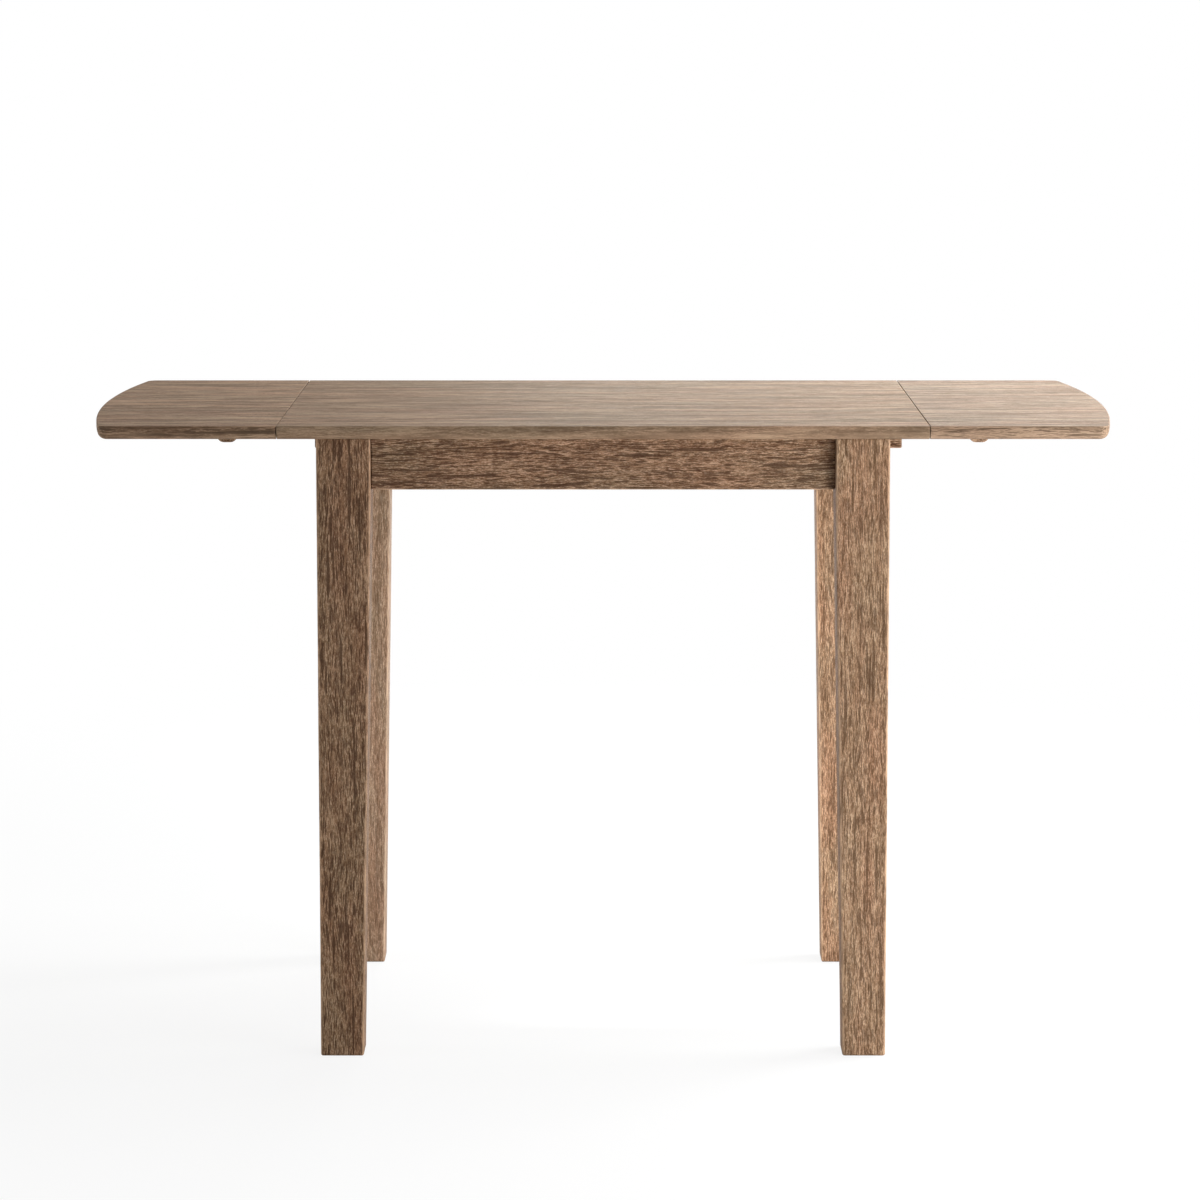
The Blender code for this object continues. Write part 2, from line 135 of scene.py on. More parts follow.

# Stain of the leaves, legs and aprons, as the photograph shows it; on the leaves and legs it also carries
# painted light, painted shade and a painted sheen
LEAF_STAIN_AND_LIGHT = {
    # The left leaf's edges take a share of the dark stain as painted shade, the right leaf's edges a share of
    # the light stain as painted light
    "left": {"tone": 1.06, "contrast": 1.6, "side_depth": 0.36, "side_painted_share": 0.28, "side_painted_tone": "dark"},
    # The right leaf's tone is whitened and cooled as a painted sheen
    "right": {"tone": (1.0, 1.04, 1.11), "side_depth": 0.45, "side_painted_share": 0.5}}
# Each leg's tone is partly its own stain and partly painted light: the back legs and the front right leg are
# made lighter where light fell on them
LEG_STAIN_AND_LIGHT = {
    "front_left": {"tone": (0.97, 0.95, 0.91), "contrast": 0.92},
    "front_right": {"tone": (1.18, 1.18, 1.16), "contrast": 0.76},
    "back_left": {"tone": (1.11, 1.20, 1.29), "contrast": 0.6},
    "back_right": {"tone": (1.28, 1.28, 1.26), "contrast": 0.76}}
APRON_LOOK = {"tone": 1.05, "contrast": 0.9}

# Steel: drawn lines and clouds in a metre, tone of the clouds, and relief and dullness of the lines
BRONZE = {"colour": (0.42, 0.36, 0.27), "rough": 0.35, "axis": "Y"}
ZINC = {"colour": (0.60, 0.60, 0.58), "rough": 0.28, "axis": "Z"}
DRAWN_ALONG, DRAWN_ACROSS, CLOUDS = 60.0, 2500.0, 120.0
CLOUDED = 0.72
LINE_RELIEF, LINE_DEPTH, LINE_DULLNESS = 0.2, 0.0001, 0.15

# Studio lamps: place, point aimed at, width and height in metres, and colour
Lamp = namedtuple("Lamp", "place target size colour")
WHITE = (1.0, 1.0, 1.0)
MIDDLE = (0.0, 0.0, 0.45)
LAMPS = {
    "key": Lamp((1.50, -1.20, 0.52), MIDDLE, (1.5, 0.6), WHITE),
    "overhead": Lamp((1.6, 0.45, 1.9), (0.2, 0.0, 0.7), (1.2, 1.2), WHITE),
    "sheen": Lamp((0.72, 2.5, 1.05), (0.2, 0.0, 0.75), (1.9, 0.5), (0.90, 1.0, 0.97)),
    "left": Lamp((-2.4, -0.2, 0.4), MIDDLE, (0.6, 0.6), WHITE),
    "back": Lamp((0.0, 2.6, 0.35), MIDDLE, (0.7, 0.7), WHITE),
    "inner": Lamp((0.0, -0.15, 0.33), (0.0, 1.0, 0.33), (0.2, 0.5), WHITE)}

# Floor: half its width, and where it turns from nearly white to white, in metres from the middle
FLOOR_REACH = 30.0
FLOOR_GREY, FLOOR_ROUGHNESS = (0.82, 0.82, 0.82), 0.9
FLOOR_WHITE, FLOOR_FADE = 0.86, (0.8, 2.6)


class PanelSettings(PropertyGroup):
    """Edges and stain of the top."""

    edge_round: FloatProperty(
        name="Lower round", description="Radius under the top's edge", default=0.0095, unit="LENGTH")
    edge_ease: FloatProperty(
        name="Upper ease", description="Radius of the top's upper arris", default=0.0012, unit="LENGTH")
    seam_ease: FloatProperty(
        name="Seam ease", description="Radius of the arrises along the seams", default=0.0004, unit="LENGTH")
    bow: FloatProperty(
        name="Bow", description="Rise of a leaf's bowed end", default=0.023, unit="LENGTH")
    corner: FloatProperty(
        name="Corner", description="Radius of a leaf's far corners", default=0.013, unit="LENGTH")
    dark: FloatVectorProperty(
        name="Dark grain", description="Stain in the top's darker grain", subtype="COLOR",
        default=(0.170, 0.106, 0.066))
    light: FloatVectorProperty(
        name="Light grain", description="Stain in the top's lighter grain", subtype="COLOR",
        default=(0.380, 0.257, 0.170))


class FrameSettings(PropertyGroup):
    """Edges and stain of the legs, aprons and sliding supports."""

    foot: FloatProperty(
        name="Foot", description="Width of a leg at the floor", default=0.051, unit="LENGTH")
    taper_drop: FloatProperty(
        name="Taper start", description="Drop from the apron to the start of the taper", default=0.010,
        unit="LENGTH")
    leg_edge: FloatProperty(
        name="Leg edge", description="Radius of the legs' eased edges", default=0.0024, unit="LENGTH")
    apron_edge: FloatProperty(
        name="Apron edge", description="Radius of the aprons' eased edges", default=0.0013, unit="LENGTH")
    dark: FloatVectorProperty(
        name="Dark grain", description="Stain in the frame's darker grain", subtype="COLOR",
        default=(0.152, 0.078, 0.040))
    light: FloatVectorProperty(
        name="Light grain", description="Stain in the frame's lighter grain", subtype="COLOR",
        default=(0.496, 0.336, 0.226))
    pore: FloatVectorProperty(
        name="Pores", description="Stain gathered in the open pores", subtype="COLOR",
        default=(0.034, 0.012, 0.004))


class HardwareSettings(PropertyGroup):
    """Sizes of the screws, bolts and nuts."""

    plate: FloatProperty(
        name="Plate", description="Thickness of a hinge plate", default=0.002, unit="LENGTH")
    screw: FloatProperty(
        name="Screw head", description="Radius of a screw head", default=0.0034, unit="LENGTH")
    pitch: FloatProperty(
        name="Pitch", description="Rise of the bolts' thread in one turn", default=0.00125, unit="LENGTH")
    flank: FloatProperty(
        name="Thread depth", description="Depth of the bolts' thread", default=0.0006, unit="LENGTH")
    bore: FloatProperty(
        name="Bore", description="Radius of the holes round the bolts", default=0.0043, unit="LENGTH")
    nut: FloatProperty(
        name="Nut", description="Half the width of a nut across its flats", default=0.0065, unit="LENGTH")
    nut_height: FloatProperty(
        name="Nut height", description="Height of a nut", default=0.0065, unit="LENGTH")
    washer: FloatProperty(
        name="Washer", description="Radius of a washer", default=0.0093, unit="LENGTH")
    washer_height: FloatProperty(
        name="Washer height", description="Thickness of a washer", default=0.0016, unit="LENGTH")


class InnerSettings(PropertyGroup):
    """Sizes of the carpentry under the top."""

    ease: FloatProperty(
        name="Ease", description="Radius of the eased edges under the top", default=0.0008, unit="LENGTH")
    block: FloatProperty(
        name="Block", description="Thickness of a corner block", default=0.022, unit="LENGTH")
    keeper_wall: FloatProperty(
        name="Keeper wall", description="Thickness of a keeper's sides", default=0.009, unit="LENGTH")
    keeper_floor: FloatProperty(
        name="Keeper floor", description="Thickness of a keeper's floor", default=0.008, unit="LENGTH")
    clearance: FloatProperty(
        name="Clearance", description="Gap round a sliding support", default=0.0004, unit="LENGTH")
    stop_round: FloatProperty(
        name="Stop round", description="Radius under a leaf's stop", default=0.008, unit="LENGTH")
    slide_edge: FloatProperty(
        name="Slide edge", description="Radius of the sliding supports' edges", default=0.0018, unit="LENGTH")


class StageSettings(PropertyGroup):
    """Camera and studio light."""

    lens: FloatProperty(name="Lens", description="Focal length in millimetres", default=134.9)
    distance: FloatProperty(
        name="Distance", description="Camera to the top's front edge", default=5.2179, unit="LENGTH")
    height: FloatProperty(name="Height", description="Camera above the floor", default=1.2695, unit="LENGTH")
    pitch: FloatProperty(
        name="Pitch", description="Camera's look down", default=math.radians(7.8332), subtype="ANGLE")
    offset: FloatProperty(
        name="Offset", description="Sideways shift of the frame, as a share of its width", default=-0.0026)
    key: FloatProperty(
        name="Key", description="Power of the light at the right", default=31.5, subtype="POWER")
    overhead: FloatProperty(
        name="Overhead", description="Power of the light above", default=76.0, subtype="POWER")
    sheen: FloatProperty(
        name="Sheen", description="Power of the wide light that glances off the top", default=30.0,
        subtype="POWER")
    left: FloatProperty(
        name="Left", description="Power of the light at the left", default=20.0, subtype="POWER")
    back: FloatProperty(
        name="Back", description="Power of the light behind", default=25.0, subtype="POWER")
    inner: FloatProperty(
        name="Inner", description="Power of the light under the top", default=1.3, subtype="POWER")
    fill: FloatProperty(name="Fill", description="Strength of the surrounding light", default=0.15)


def drift(along, seed, pace, waves=6):
    """A smooth wander between about -1 and 1: a few cosines of rising pace with seeded phases."""
    rng = np.random.default_rng(seed)
    order = np.arange(1, waves + 1)
    rates = pace * order * rng.uniform(*RATE_SPREAD, waves)
    phases = rng.uniform(0, TAU, waves)
    share = 1.0 / order
    swing = np.cos(np.multiply.outer(along, TAU * rates) + phases)
    return swing @ share / share.sum()


def drifts(along, seed, pace):
    """Four wanders side by side, with a seed each."""
    return np.stack([drift(along, seed + k, pace) for k in range(4)], 1)


def around(count):
    """Turns of points spaced evenly round a circle."""
    return np.linspace(0, TAU, count, endpoint=False)


def arc(centre, radius, start, end, count):
    """Points of a circular arc about a centre, both ends included."""
    angles = np.linspace(start, end, count)
    return np.stack((centre[0] + radius * np.cos(angles), centre[1] + radius * np.sin(angles)), 1)


def end_ease(radius, count=5):
    """Stations of a rounded end: inset from the sides and depth behind the end face, a quarter circle."""
    angles = np.linspace(0, QUARTER, count)
    return radius * (1 - np.sin(angles)), radius * (1 - np.cos(angles))


def eased_stations(low, high, radius, count):
    """Places along a bar with rounded ends, and how far the section is drawn in at each."""
    inset, depth = end_ease(radius)
    middle = np.linspace(low + radius + SUPPORT, high - radius - SUPPORT, count)
    places = np.concatenate((low + depth, middle, high - depth[::-1]))
    return places, np.concatenate((inset, np.zeros(count), inset[::-1]))


def rounded_sections(low, high, radius, steps=6):
    """Rounded rectangles, one for each station, and where their edges are.

    low and high hold the two sides' places at each station, shape (n, 2). radius holds the four
    corner radii, shape (n, 4). Each corner is an arc between two support points on the flats.
    """
    signs = np.array(((1, 1), (-1, 1), (-1, -1), (1, -1)))
    starts = np.arange(4) * QUARTER
    wear = LEAST_WEAR + (1 - LEAST_WEAR) * np.sin(np.linspace(0, math.pi, steps))
    parts, edges = [], []
    for k, (sign, start) in enumerate(zip(signs, starts)):
        r = radius[:, k]
        centre = np.where(sign > 0, high - r[:, None], low + r[:, None])
        angles = start + np.linspace(0, QUARTER, steps)
        bend = centre[:, None] + r[:, None, None] * np.stack((np.cos(angles), np.sin(angles)), 1)
        into = np.array((-math.sin(start), math.cos(start)))
        onward = np.array((math.cos(start), math.sin(start)))
        before = bend[:, :1] - SUPPORT * into
        after = bend[:, -1:] - SUPPORT * onward
        parts += [before, bend, after]
        edges += [np.zeros(1), wear, np.zeros(1)]
    return np.concatenate(parts, 1), np.concatenate(edges)


def set_along(sections, places, axis):
    """Sections in the two other axes, set at their places along X, Y or Z: grid of points (n, m, 3)."""
    spot = np.broadcast_to(places[:, None], sections.shape[:2])
    across, up = sections[..., 0], sections[..., 1]
    order = {"X": (spot, across, up), "Y": (across, spot, up), "Z": (across, up, spot)}[axis]
    return np.stack(order, -1)


def ring_faces(rings, count, closed):
    """Corner numbers of the quads between neighbouring rings of count points."""
    i = np.arange(rings if closed else rings - 1)[:, None]
    j = np.arange(count)[None]
    a, b = i * count + j, i * count + (j + 1) % count
    k = (i + 1) % rings
    return np.stack((a, b, k * count + (j + 1) % count, k * count + j), -1).reshape(-1, 4)


def skin(points, closed=False):
    """Vertices and faces of a skin over rings of points, with flat ends unless it closes on itself.

    The faces are turned round if the volume that they enclose comes out negative.
    """
    rings, count = points.shape[:2]
    vertices = points.reshape(-1, 3)
    quads = ring_faces(rings, count, closed)
    a, b, c, d = (vertices[quads[:, k]] for k in range(4))
    volume = (np.cross(b - a, c - a) * a).sum() + (np.cross(c - a, d - a) * a).sum()
    ends = [] if closed else [np.arange(count)[::-1], np.arange((rings - 1) * count, rings * count)]
    for end in ends:
        p = vertices[end]
        volume += (np.cross(p[1:-1] - p[0], p[2:] - p[0]) * p[0]).sum()
    faces = quads.tolist() + [end.tolist() for end in ends]
    if volume < 0:
        faces = [face[::-1] for face in faces]
    return vertices, faces


def join(skins):
    """Several skins as one list of vertices and faces."""
    vertices, faces, start = [], [], 0
    for points, polygons in skins:
        vertices.append(points)
        faces += [[start + i for i in polygon] for polygon in polygons]
        start += len(points)
    return np.concatenate(vertices), faces


def new_object(name, data):
    """An object in the scene that shows a mesh, light or camera."""
    item = bpy.data.objects.new(name, data)
    bpy.context.scene.collection.objects.link(item)
    return item


def add_piece(name, shape, body, material, replaced=(), edge=None):
    """Make a mesh piece of the table, let it ride on its body and stand for its nodes."""
    vertices, faces = shape
    mesh = bpy.data.meshes.new(name)
    mesh.from_pydata(vertices.tolist(), [], faces)
    mesh.shade_smooth()
    mesh.set_sharp_from_angle(angle=SHARP)
    if edge is not None:
        wear = mesh.attributes.new("edge", "FLOAT", "POINT")
        wear.data.foreach_set("value", np.ascontiguousarray(edge, np.float32))
    mesh.materials.append(material)
    piece = new_object(name, mesh)
    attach(piece, body)
    if replaced:
        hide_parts(*replaced)


def node_box(node):
    """Lowest and highest corner of a CAD node as arrays."""
    low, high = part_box(node)
    return np.array(low), np.array(high)


def dress(node, material):
    """Give a CAD node that stays in view its finish."""
    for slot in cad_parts[node].material_slots:
        slot.material = material


def new_node(tree, kind, **settings):
    """Add a shader node and set its plain properties."""
    node = tree.nodes.new(kind)
    for key, value in settings.items():
        setattr(node, key, value)
    return node


def maths(tree, operation, first, second=None, clamp=False):
    """A Math node fed by sockets or numbers; gives its output socket."""
    node = new_node(tree, "ShaderNodeMath", operation=operation, use_clamp=clamp)
    for socket, value in zip(node.inputs, (first, second)):
        feed(tree, socket, value)
    return node.outputs[0]


def feed(tree, socket, value):
    """Link a socket to an input, or set a number on it."""
    if value is None:
        return
    if isinstance(value, bpy.types.NodeSocket):
        tree.links.new(value, socket)
    else:
        socket.default_value = value


def scaled(tree, vector, amounts):
    """A vector multiplied by three amounts."""
    node = new_node(tree, "ShaderNodeVectorMath", operation="MULTIPLY")
    feed(tree, node.inputs[0], vector)
    node.inputs[1].default_value = amounts
    return node.outputs[0]


def noise(tree, vector, detail=2.0, roughness=0.5, output="Fac"):
    """Fractal noise between 0 and 1 at a vector, as a number or as a colour."""
    node = new_node(tree, "ShaderNodeTexNoise")
    feed(tree, node.inputs["Vector"], vector)
    node.inputs["Scale"].default_value = 1.0
    node.inputs["Detail"].default_value = detail
    node.inputs["Roughness"].default_value = roughness
    return node.outputs[output]


def spread(tree, value, low, high, start=0.0, end=1.0):
    """Map a value from one range to another with a smooth, clamped step."""
    node = new_node(tree, "ShaderNodeMapRange", interpolation_type="SMOOTHSTEP")
    for name, amount in (("Value", value), ("From Min", low), ("From Max", high),
                         ("To Min", start), ("To Max", end)):
        feed(tree, node.inputs[name], amount)
    return node.outputs[0]


def mixed(tree, share, first, second, blend="MIX"):
    """Blend two colours by a share."""
    node = new_node(tree, "ShaderNodeMix", data_type="RGBA", blend_type=blend)
    feed(tree, node.inputs["Factor"], share)
    for name, value in (("A", first), ("B", second)):
        socket = next(s for s in node.inputs if s.name == name and s.type == "RGBA")
        feed(tree, socket, value)
    return next(s for s in node.outputs if s.type == "RGBA")


def new_group(name, inputs, outputs):
    """An empty shader group with named sockets."""
    group = bpy.data.node_groups.new(name, "ShaderNodeTree")
    for label, kind, default in inputs:
        socket = group.interface.new_socket(label, in_out="INPUT", socket_type=kind)
        if default is not None:
            socket.default_value = default
    for label in outputs:
        group.interface.new_socket(label, in_out="OUTPUT", socket_type="NodeSocketFloat")
    return group, new_node(group, "NodeGroupInput"), new_node(group, "NodeGroupOutput")


def paced(tree, vector, feature):
    """A vector in metres, scaled to the pace of one feature of the grain."""
    return scaled(tree, vector, GRAIN_PACES[feature])


def swayed(tree, vector):
    """A vector bent sideways by slow noise, so that the grain isn't ruler straight."""
    sway = noise(tree, paced(tree, vector, "sway"), detail=3.0, output="Color")
    centred = new_node(tree, "ShaderNodeVectorMath", operation="SUBTRACT")
    feed(tree, centred.inputs[0], sway)
    centred.inputs[1].default_value = (0.5, 0.5, 0.5)
    bent = new_node(tree, "ShaderNodeVectorMath", operation="ADD")
    feed(tree, bent.inputs[0], vector)
    feed(tree, bent.inputs[1], scaled(tree, centred.outputs[0], SWAY))
    return bent.outputs[0]


def pore_dashes(tree, wood, room, kind):
    """Dashes of one kind: the middles of stretched cells, larger where a cell's own chance is high."""
    cells = new_node(tree, "ShaderNodeTexVoronoi", feature="F1")
    feed(tree, cells.inputs["Vector"], scaled(tree, wood, kind.pace))
    cells.inputs["Scale"].default_value = 1.0
    chance = new_node(tree, "ShaderNodeSeparateColor")
    feed(tree, chance.inputs[0], cells.outputs["Color"])
    chosen = maths(tree, "MAXIMUM", maths(tree, "SUBTRACT", chance.outputs[0], kind.rare), 0.0)
    size = maths(tree, "MULTIPLY", maths(tree, "MULTIPLY", room, kind.reach / (1.0 - kind.rare)), chosen)
    inside = maths(tree, "SUBTRACT", size, cells.outputs["Distance"])
    return maths(tree, "MULTIPLY", spread(tree, inside, -0.5 * kind.soft, kind.soft), kind.depth)


def make_open_grain():
    """Open-pored wood whose grain runs along Z of the given vector, in metres.

    Tone is a half plus the growth rings, a broad figure, streaks and fibres, each swung about
    zero by its own amount. Pores are short dark dashes and flecks that gather in bands, with a
    few longer cracks. Tint drifts slowly between two hues. Height sinks the pores and lifts the
    fibres.
    """
    number = "NodeSocketFloat"
    group, source, out = new_group(
        "Open grain",
        (("Vector", "NodeSocketVector", None), ("Rings", number, 0.3), ("Figure", number, 0.5),
         ("Streaks", number, 0.5), ("Fibre", number, 0.5), ("Pore share", number, 0.5)),
        ("Tone", "Pores", "Tint", "Height"))
    wood = swayed(group, source.outputs["Vector"])

    growth = noise(group, paced(group, wood, "growth"), detail=1.0)
    rings = maths(group, "SINE", maths(group, "MULTIPLY", growth, RINGS))
    rings = maths(group, "ADD", maths(group, "MULTIPLY", rings, 0.5), 0.5)
    figure = noise(group, paced(group, wood, "figure"), detail=3.0, roughness=0.6)
    streaks = noise(group, paced(group, wood, "streaks"), detail=3.0, roughness=0.65)
    long_fibre = noise(group, paced(group, wood, "long fibre"), detail=2.0, roughness=0.7)
    short_fibre = noise(group, paced(group, wood, "short fibre"), detail=2.0, roughness=0.65)
    fibres = maths(group, "MULTIPLY", maths(group, "ADD", long_fibre, short_fibre), 0.5)
    tone = 0.5
    for label, value in (("Rings", rings), ("Figure", figure), ("Streaks", streaks), ("Fibre", fibres)):
        swing = maths(group, "MULTIPLY", maths(group, "SUBTRACT", value, 0.5), source.outputs[label])
        tone = maths(group, "ADD", swing, tone)

    crowd = noise(group, paced(group, wood, "crowd"), detail=4.0, roughness=0.6)
    banded = spread(group, crowd, low=0.20, high=0.70, start=0.65)
    room = maths(group, "MULTIPLY", banded, source.outputs["Pore share"])
    pores = 0.0
    for kind in (DASHES, FLECKS, CRACKS):
        pores = maths(group, "MAXIMUM", pore_dashes(group, wood, room, kind), pores)

    tint = spread(group, noise(group, paced(group, wood, "tint")), low=0.3, high=0.7)
    height = maths(group, "SUBTRACT", maths(group, "MULTIPLY", fibres, 0.5), pores)
    for label, value in (("Tone", tone), ("Pores", pores), ("Tint", tint), ("Height", height)):
        feed(group, out.inputs[label], value)


def make_edge_wear():
    """Rubbed edges: the piece's edge attribute, broken up by patchy noise."""
    group, source, out = new_group(
        "Edge wear", (("Edge", "NodeSocketFloat", 0.0), ("Vector", "NodeSocketVector", None)), ("Wear",))
    patches = noise(group, paced(group, source.outputs["Vector"], "wear"), detail=4.0, roughness=0.65)
    rubbed = spread(group, patches, low=0.30, high=0.62)
    feed(group, out.inputs["Wear"], maths(group, "MULTIPLY", rubbed, source.outputs["Edge"], clamp=True))


def side_mask(tree, vector, low, high):
    """1 on the edges of a flat panel, between its lower and its upper face."""
    split = new_node(tree, "ShaderNodeSeparateXYZ")
    feed(tree, split.inputs[0], vector)
    height = split.outputs["Z"]
    return maths(tree, "MULTIPLY", spread(tree, height, low, low + SIDE_BLEND),
                 spread(tree, height, high - SIDE_BLEND, high - SIDE_MARGIN, start=1.0, end=0.0))


def new_material(name):
    """A material with nodes, with its tree and its shader."""
    material = bpy.data.materials.new(name)
    material.use_nodes = True
    return material, material.node_tree, material.node_tree.nodes["Principled BSDF"]


def opaque(colour):
    """A colour with full alpha."""
    return (*colour, 1.0)


def stain_ramp(tree, tone, look):
    """Stain over the grain's tone, from dark to light through their geometric mean."""
    ramp = new_node(tree, "ShaderNodeValToRGB")
    stops = ramp.color_ramp.elements
    stops[0].position, stops[1].position = RAMP_ENDS
    stops[0].color, stops[1].color = opaque(look["dark"]), opaque(look["light"])
    stops.new(0.5).color = opaque(np.sqrt(np.multiply(look["dark"], look["light"])))
    feed(tree, ramp.inputs["Fac"], tone)
    return ramp.outputs["Color"]


def stained(tree, grain, place, look):
    """Colour of the stained grain: its tone in a drifting hue, the panel's edges with their painted light and
    shade, and the pores over both.
    """
    hue = mixed(tree, grain.outputs["Tint"], *map(opaque, HUES))
    colour = mixed(tree, 1.0, stain_ramp(tree, grain.outputs["Tone"], look), hue, "MULTIPLY")
    depth = look["Pore depth"]
    if "Side depth" in look:
        low, high = (corner[2] for corner in node_box("centre_top"))
        side = side_mask(tree, place, low, high)
        depth = maths(tree, "ADD", maths(tree, "MULTIPLY", side, look["Side depth"]), depth)
        # Painted light and shade on the panel's edges: a share of one of the top's two stains
        share = maths(tree, "MULTIPLY", side, look["Side painted share"])
        colour = mixed(tree, share, colour, opaque(look["Side painted tone"]))
    return mixed(tree, maths(tree, "MULTIPLY", grain.outputs["Pores"], depth), colour, opaque(look["pore"]))


def wood_material(name, axis, place, look):
    """Stained wood with its grain along X, Y or Z, cut from its own place in the log."""
    material, tree, shader = new_material(name)
    coordinates = new_node(tree, "ShaderNodeTexCoord").outputs["Object"]
    turn = new_node(tree, "ShaderNodeMapping")
    turn.inputs["Rotation"].default_value = GRAIN_TURNS[axis]
    turn.inputs["Location"].default_value = place
    turn.inputs["Scale"].default_value = [look["Stretch"] if letter == axis else 1.0 for letter in "XYZ"]
    feed(tree, turn.inputs["Vector"], coordinates)
    grain = new_node(tree, "ShaderNodeGroup", node_tree=bpy.data.node_groups["Open grain"])
    feed(tree, grain.inputs["Vector"], turn.outputs["Vector"])
    for label in ("Rings", "Figure", "Streaks", "Fibre", "Pore share"):
        grain.inputs[label].default_value = look[label]

    wear = new_node(tree, "ShaderNodeGroup", node_tree=bpy.data.node_groups["Edge wear"])
    attribute = new_node(tree, "ShaderNodeAttribute", attribute_name="edge")
    feed(tree, wear.inputs["Edge"], attribute.outputs["Fac"])
    feed(tree, wear.inputs["Vector"], turn.outputs["Vector"])
    worn = maths(tree, "MULTIPLY", wear.outputs["Wear"], look["Wear"])
    colour = stained(tree, grain, coordinates, look)
    rubbed = opaque(toned(look["light"], RUBBED))
    feed(tree, shader.inputs["Base Color"], mixed(tree, worn, colour, rubbed))

    height, rough = grain.outputs["Height"], look["Rough"]
    dull = spread(tree, height, low=-0.6, high=0.4, start=rough + PORE_DULLNESS, end=rough)
    feed(tree, shader.inputs["Roughness"], dull)
    feed(tree, shader.inputs["Normal"], bumped(tree, height, look["Relief"], GRAIN_DEPTH))
    shader.inputs["Specular IOR Level"].default_value = look["Shine"]
    return material


def bumped(tree, height, strength, distance):
    """A normal that follows a height between 0 and 1."""
    bump = new_node(tree, "ShaderNodeBump")
    bump.inputs["Strength"].default_value = strength
    bump.inputs["Distance"].default_value = distance
    feed(tree, bump.inputs["Height"], height)
    return bump.outputs["Normal"]


def toned(colour, tone):
    """A colour made lighter or darker by one factor, or by one for each channel."""
    return tuple(float(channel) for channel in np.minimum(1.0, np.array(colour) * tone))


def top_look(tone=1.0, contrast=1.0, side_depth=0.0, side_painted_share=0.0, side_painted_tone="light"):
    """Smooth sealed finish of the top, whose tone may carry a painted sheen, and whose edges may have deeper
    pores and a share of one of the two stains: the light one as painted light, the dark one as painted shade.
    """
    settings = bpy.context.scene.table_panels
    return {
        "dark": toned(settings.dark, tone), "light": toned(settings.light, tone),
        "pore": toned(settings.dark, TOP_PORE),
        "Stretch": 0.8, "Rings": 0.32 * contrast, "Figure": 0.95 * contrast, "Streaks": 1.05 * contrast,
        "Fibre": 2.2 * contrast, "Pore share": 0.9, "Pore depth": 0.42,
        "Side depth": side_depth, "Side painted share": side_painted_share,
        "Side painted tone": tuple(getattr(settings, side_painted_tone)),
        "Wear": 0.2, "Rough": 0.62, "Relief": 0.15, "Shine": 0.1}


def frame_look(tone=1.0, contrast=1.0):
    """Open-pored finish of the legs, aprons and sliding supports."""
    settings = bpy.context.scene.table_frame
    return {
        "dark": toned(settings.dark, tone), "light": toned(settings.light, tone),
        "pore": tuple(settings.pore),
        "Stretch": 1.0, "Rings": 0.1, "Figure": 0.2, "Streaks": 0.3, "Fibre": 2.9 * contrast,
        "Pore share": 1.0, "Pore depth": 0.85 * contrast,
        "Wear": 0.55, "Rough": 0.80, "Relief": 0.5, "Shine": 0.3}


def raw_look():
    """Planed wood without stain, for the pieces under the top."""
    return {
        "dark": (0.30, 0.19, 0.10), "light": (0.55, 0.40, 0.25), "pore": (0.18, 0.10, 0.05),
        "Stretch": 0.7, "Rings": 0.4, "Figure": 0.6, "Streaks": 0.4, "Fibre": 1.6,
        "Pore share": 0.6, "Pore depth": 0.5,
        "Wear": 0.2, "Rough": 0.65, "Relief": 0.4, "Shine": 0.3}


def steel_material(name, colour, rough, axis):
    """Plated steel, drawn with fine lines along one axis and slightly clouded."""
    material, tree, shader = new_material(name)
    coordinates = new_node(tree, "ShaderNodeTexCoord").outputs["Object"]
    paces = [DRAWN_ALONG if letter == axis else DRAWN_ACROSS for letter in "XYZ"]
    drawn = noise(tree, scaled(tree, coordinates, paces), detail=2.0)
    cloud = spread(tree, noise(tree, scaled(tree, coordinates, [CLOUDS] * 3), detail=4.0), low=0.35, high=0.7)
    dull = spread(tree, drawn, low=0.3, high=0.7, start=rough, end=rough + LINE_DULLNESS)
    feed(tree, shader.inputs["Base Color"],
         mixed(tree, cloud, opaque(colour), opaque(toned(colour, CLOUDED))))
    feed(tree, shader.inputs["Roughness"], dull)
    feed(tree, shader.inputs["Normal"], bumped(tree, drawn, LINE_RELIEF, LINE_DEPTH))
    shader.inputs["Metallic"].default_value = 1.0
    return material


def edge_profile(thickness, settings, round_steps=9, ease_steps=5):
    """The top's edge from below as (inset, height): a round-over, a flat and an eased upper arris."""
    low, high = settings.edge_round, settings.edge_ease
    below = arc((low, low), low, -QUARTER, -2 * QUARTER, round_steps)
    above = arc((high, thickness - high), high, 2 * QUARTER, QUARTER, ease_steps)
    return np.concatenate(([(low + SUPPORT, 0.0)], below, above, [(high + SUPPORT, thickness)]))


def profile_edge(profile, thickness):
    """Where the edge profile is rounded: 1 at the two arrises, 0 on the flats."""
    inset, height = profile.T
    inside = np.abs(height - thickness / 2) < thickness / 2 - TINY
    return np.where((inset > TINY) & inside, 1.0, 0.0)


def centre_shape(settings):
    """The centre panel: its edge section carried along X, drawn in a little at the two seams."""
    low, high = node_box("centre_top")
    thickness = high[2] - low[2]
    profile = edge_profile(thickness, settings)
    front = profile * (1, 1) + (low[1], low[2])
    back = profile[::-1] * (-1, 1) + (high[1], low[2])
    section = np.concatenate((front, back))
    middle = section.mean(0)
    places, inset = eased_stations(low[0], high[0], settings.seam_ease, count=3)
    half = (high[1:] - low[1:]) / 2
    sections = middle + (section - middle) * (1 - inset[:, None, None] / half)
    once = profile_edge(profile, thickness)
    edge = np.tile(np.concatenate((once, once[::-1])), len(places))
    return skin(set_along(sections, places, "X")), edge


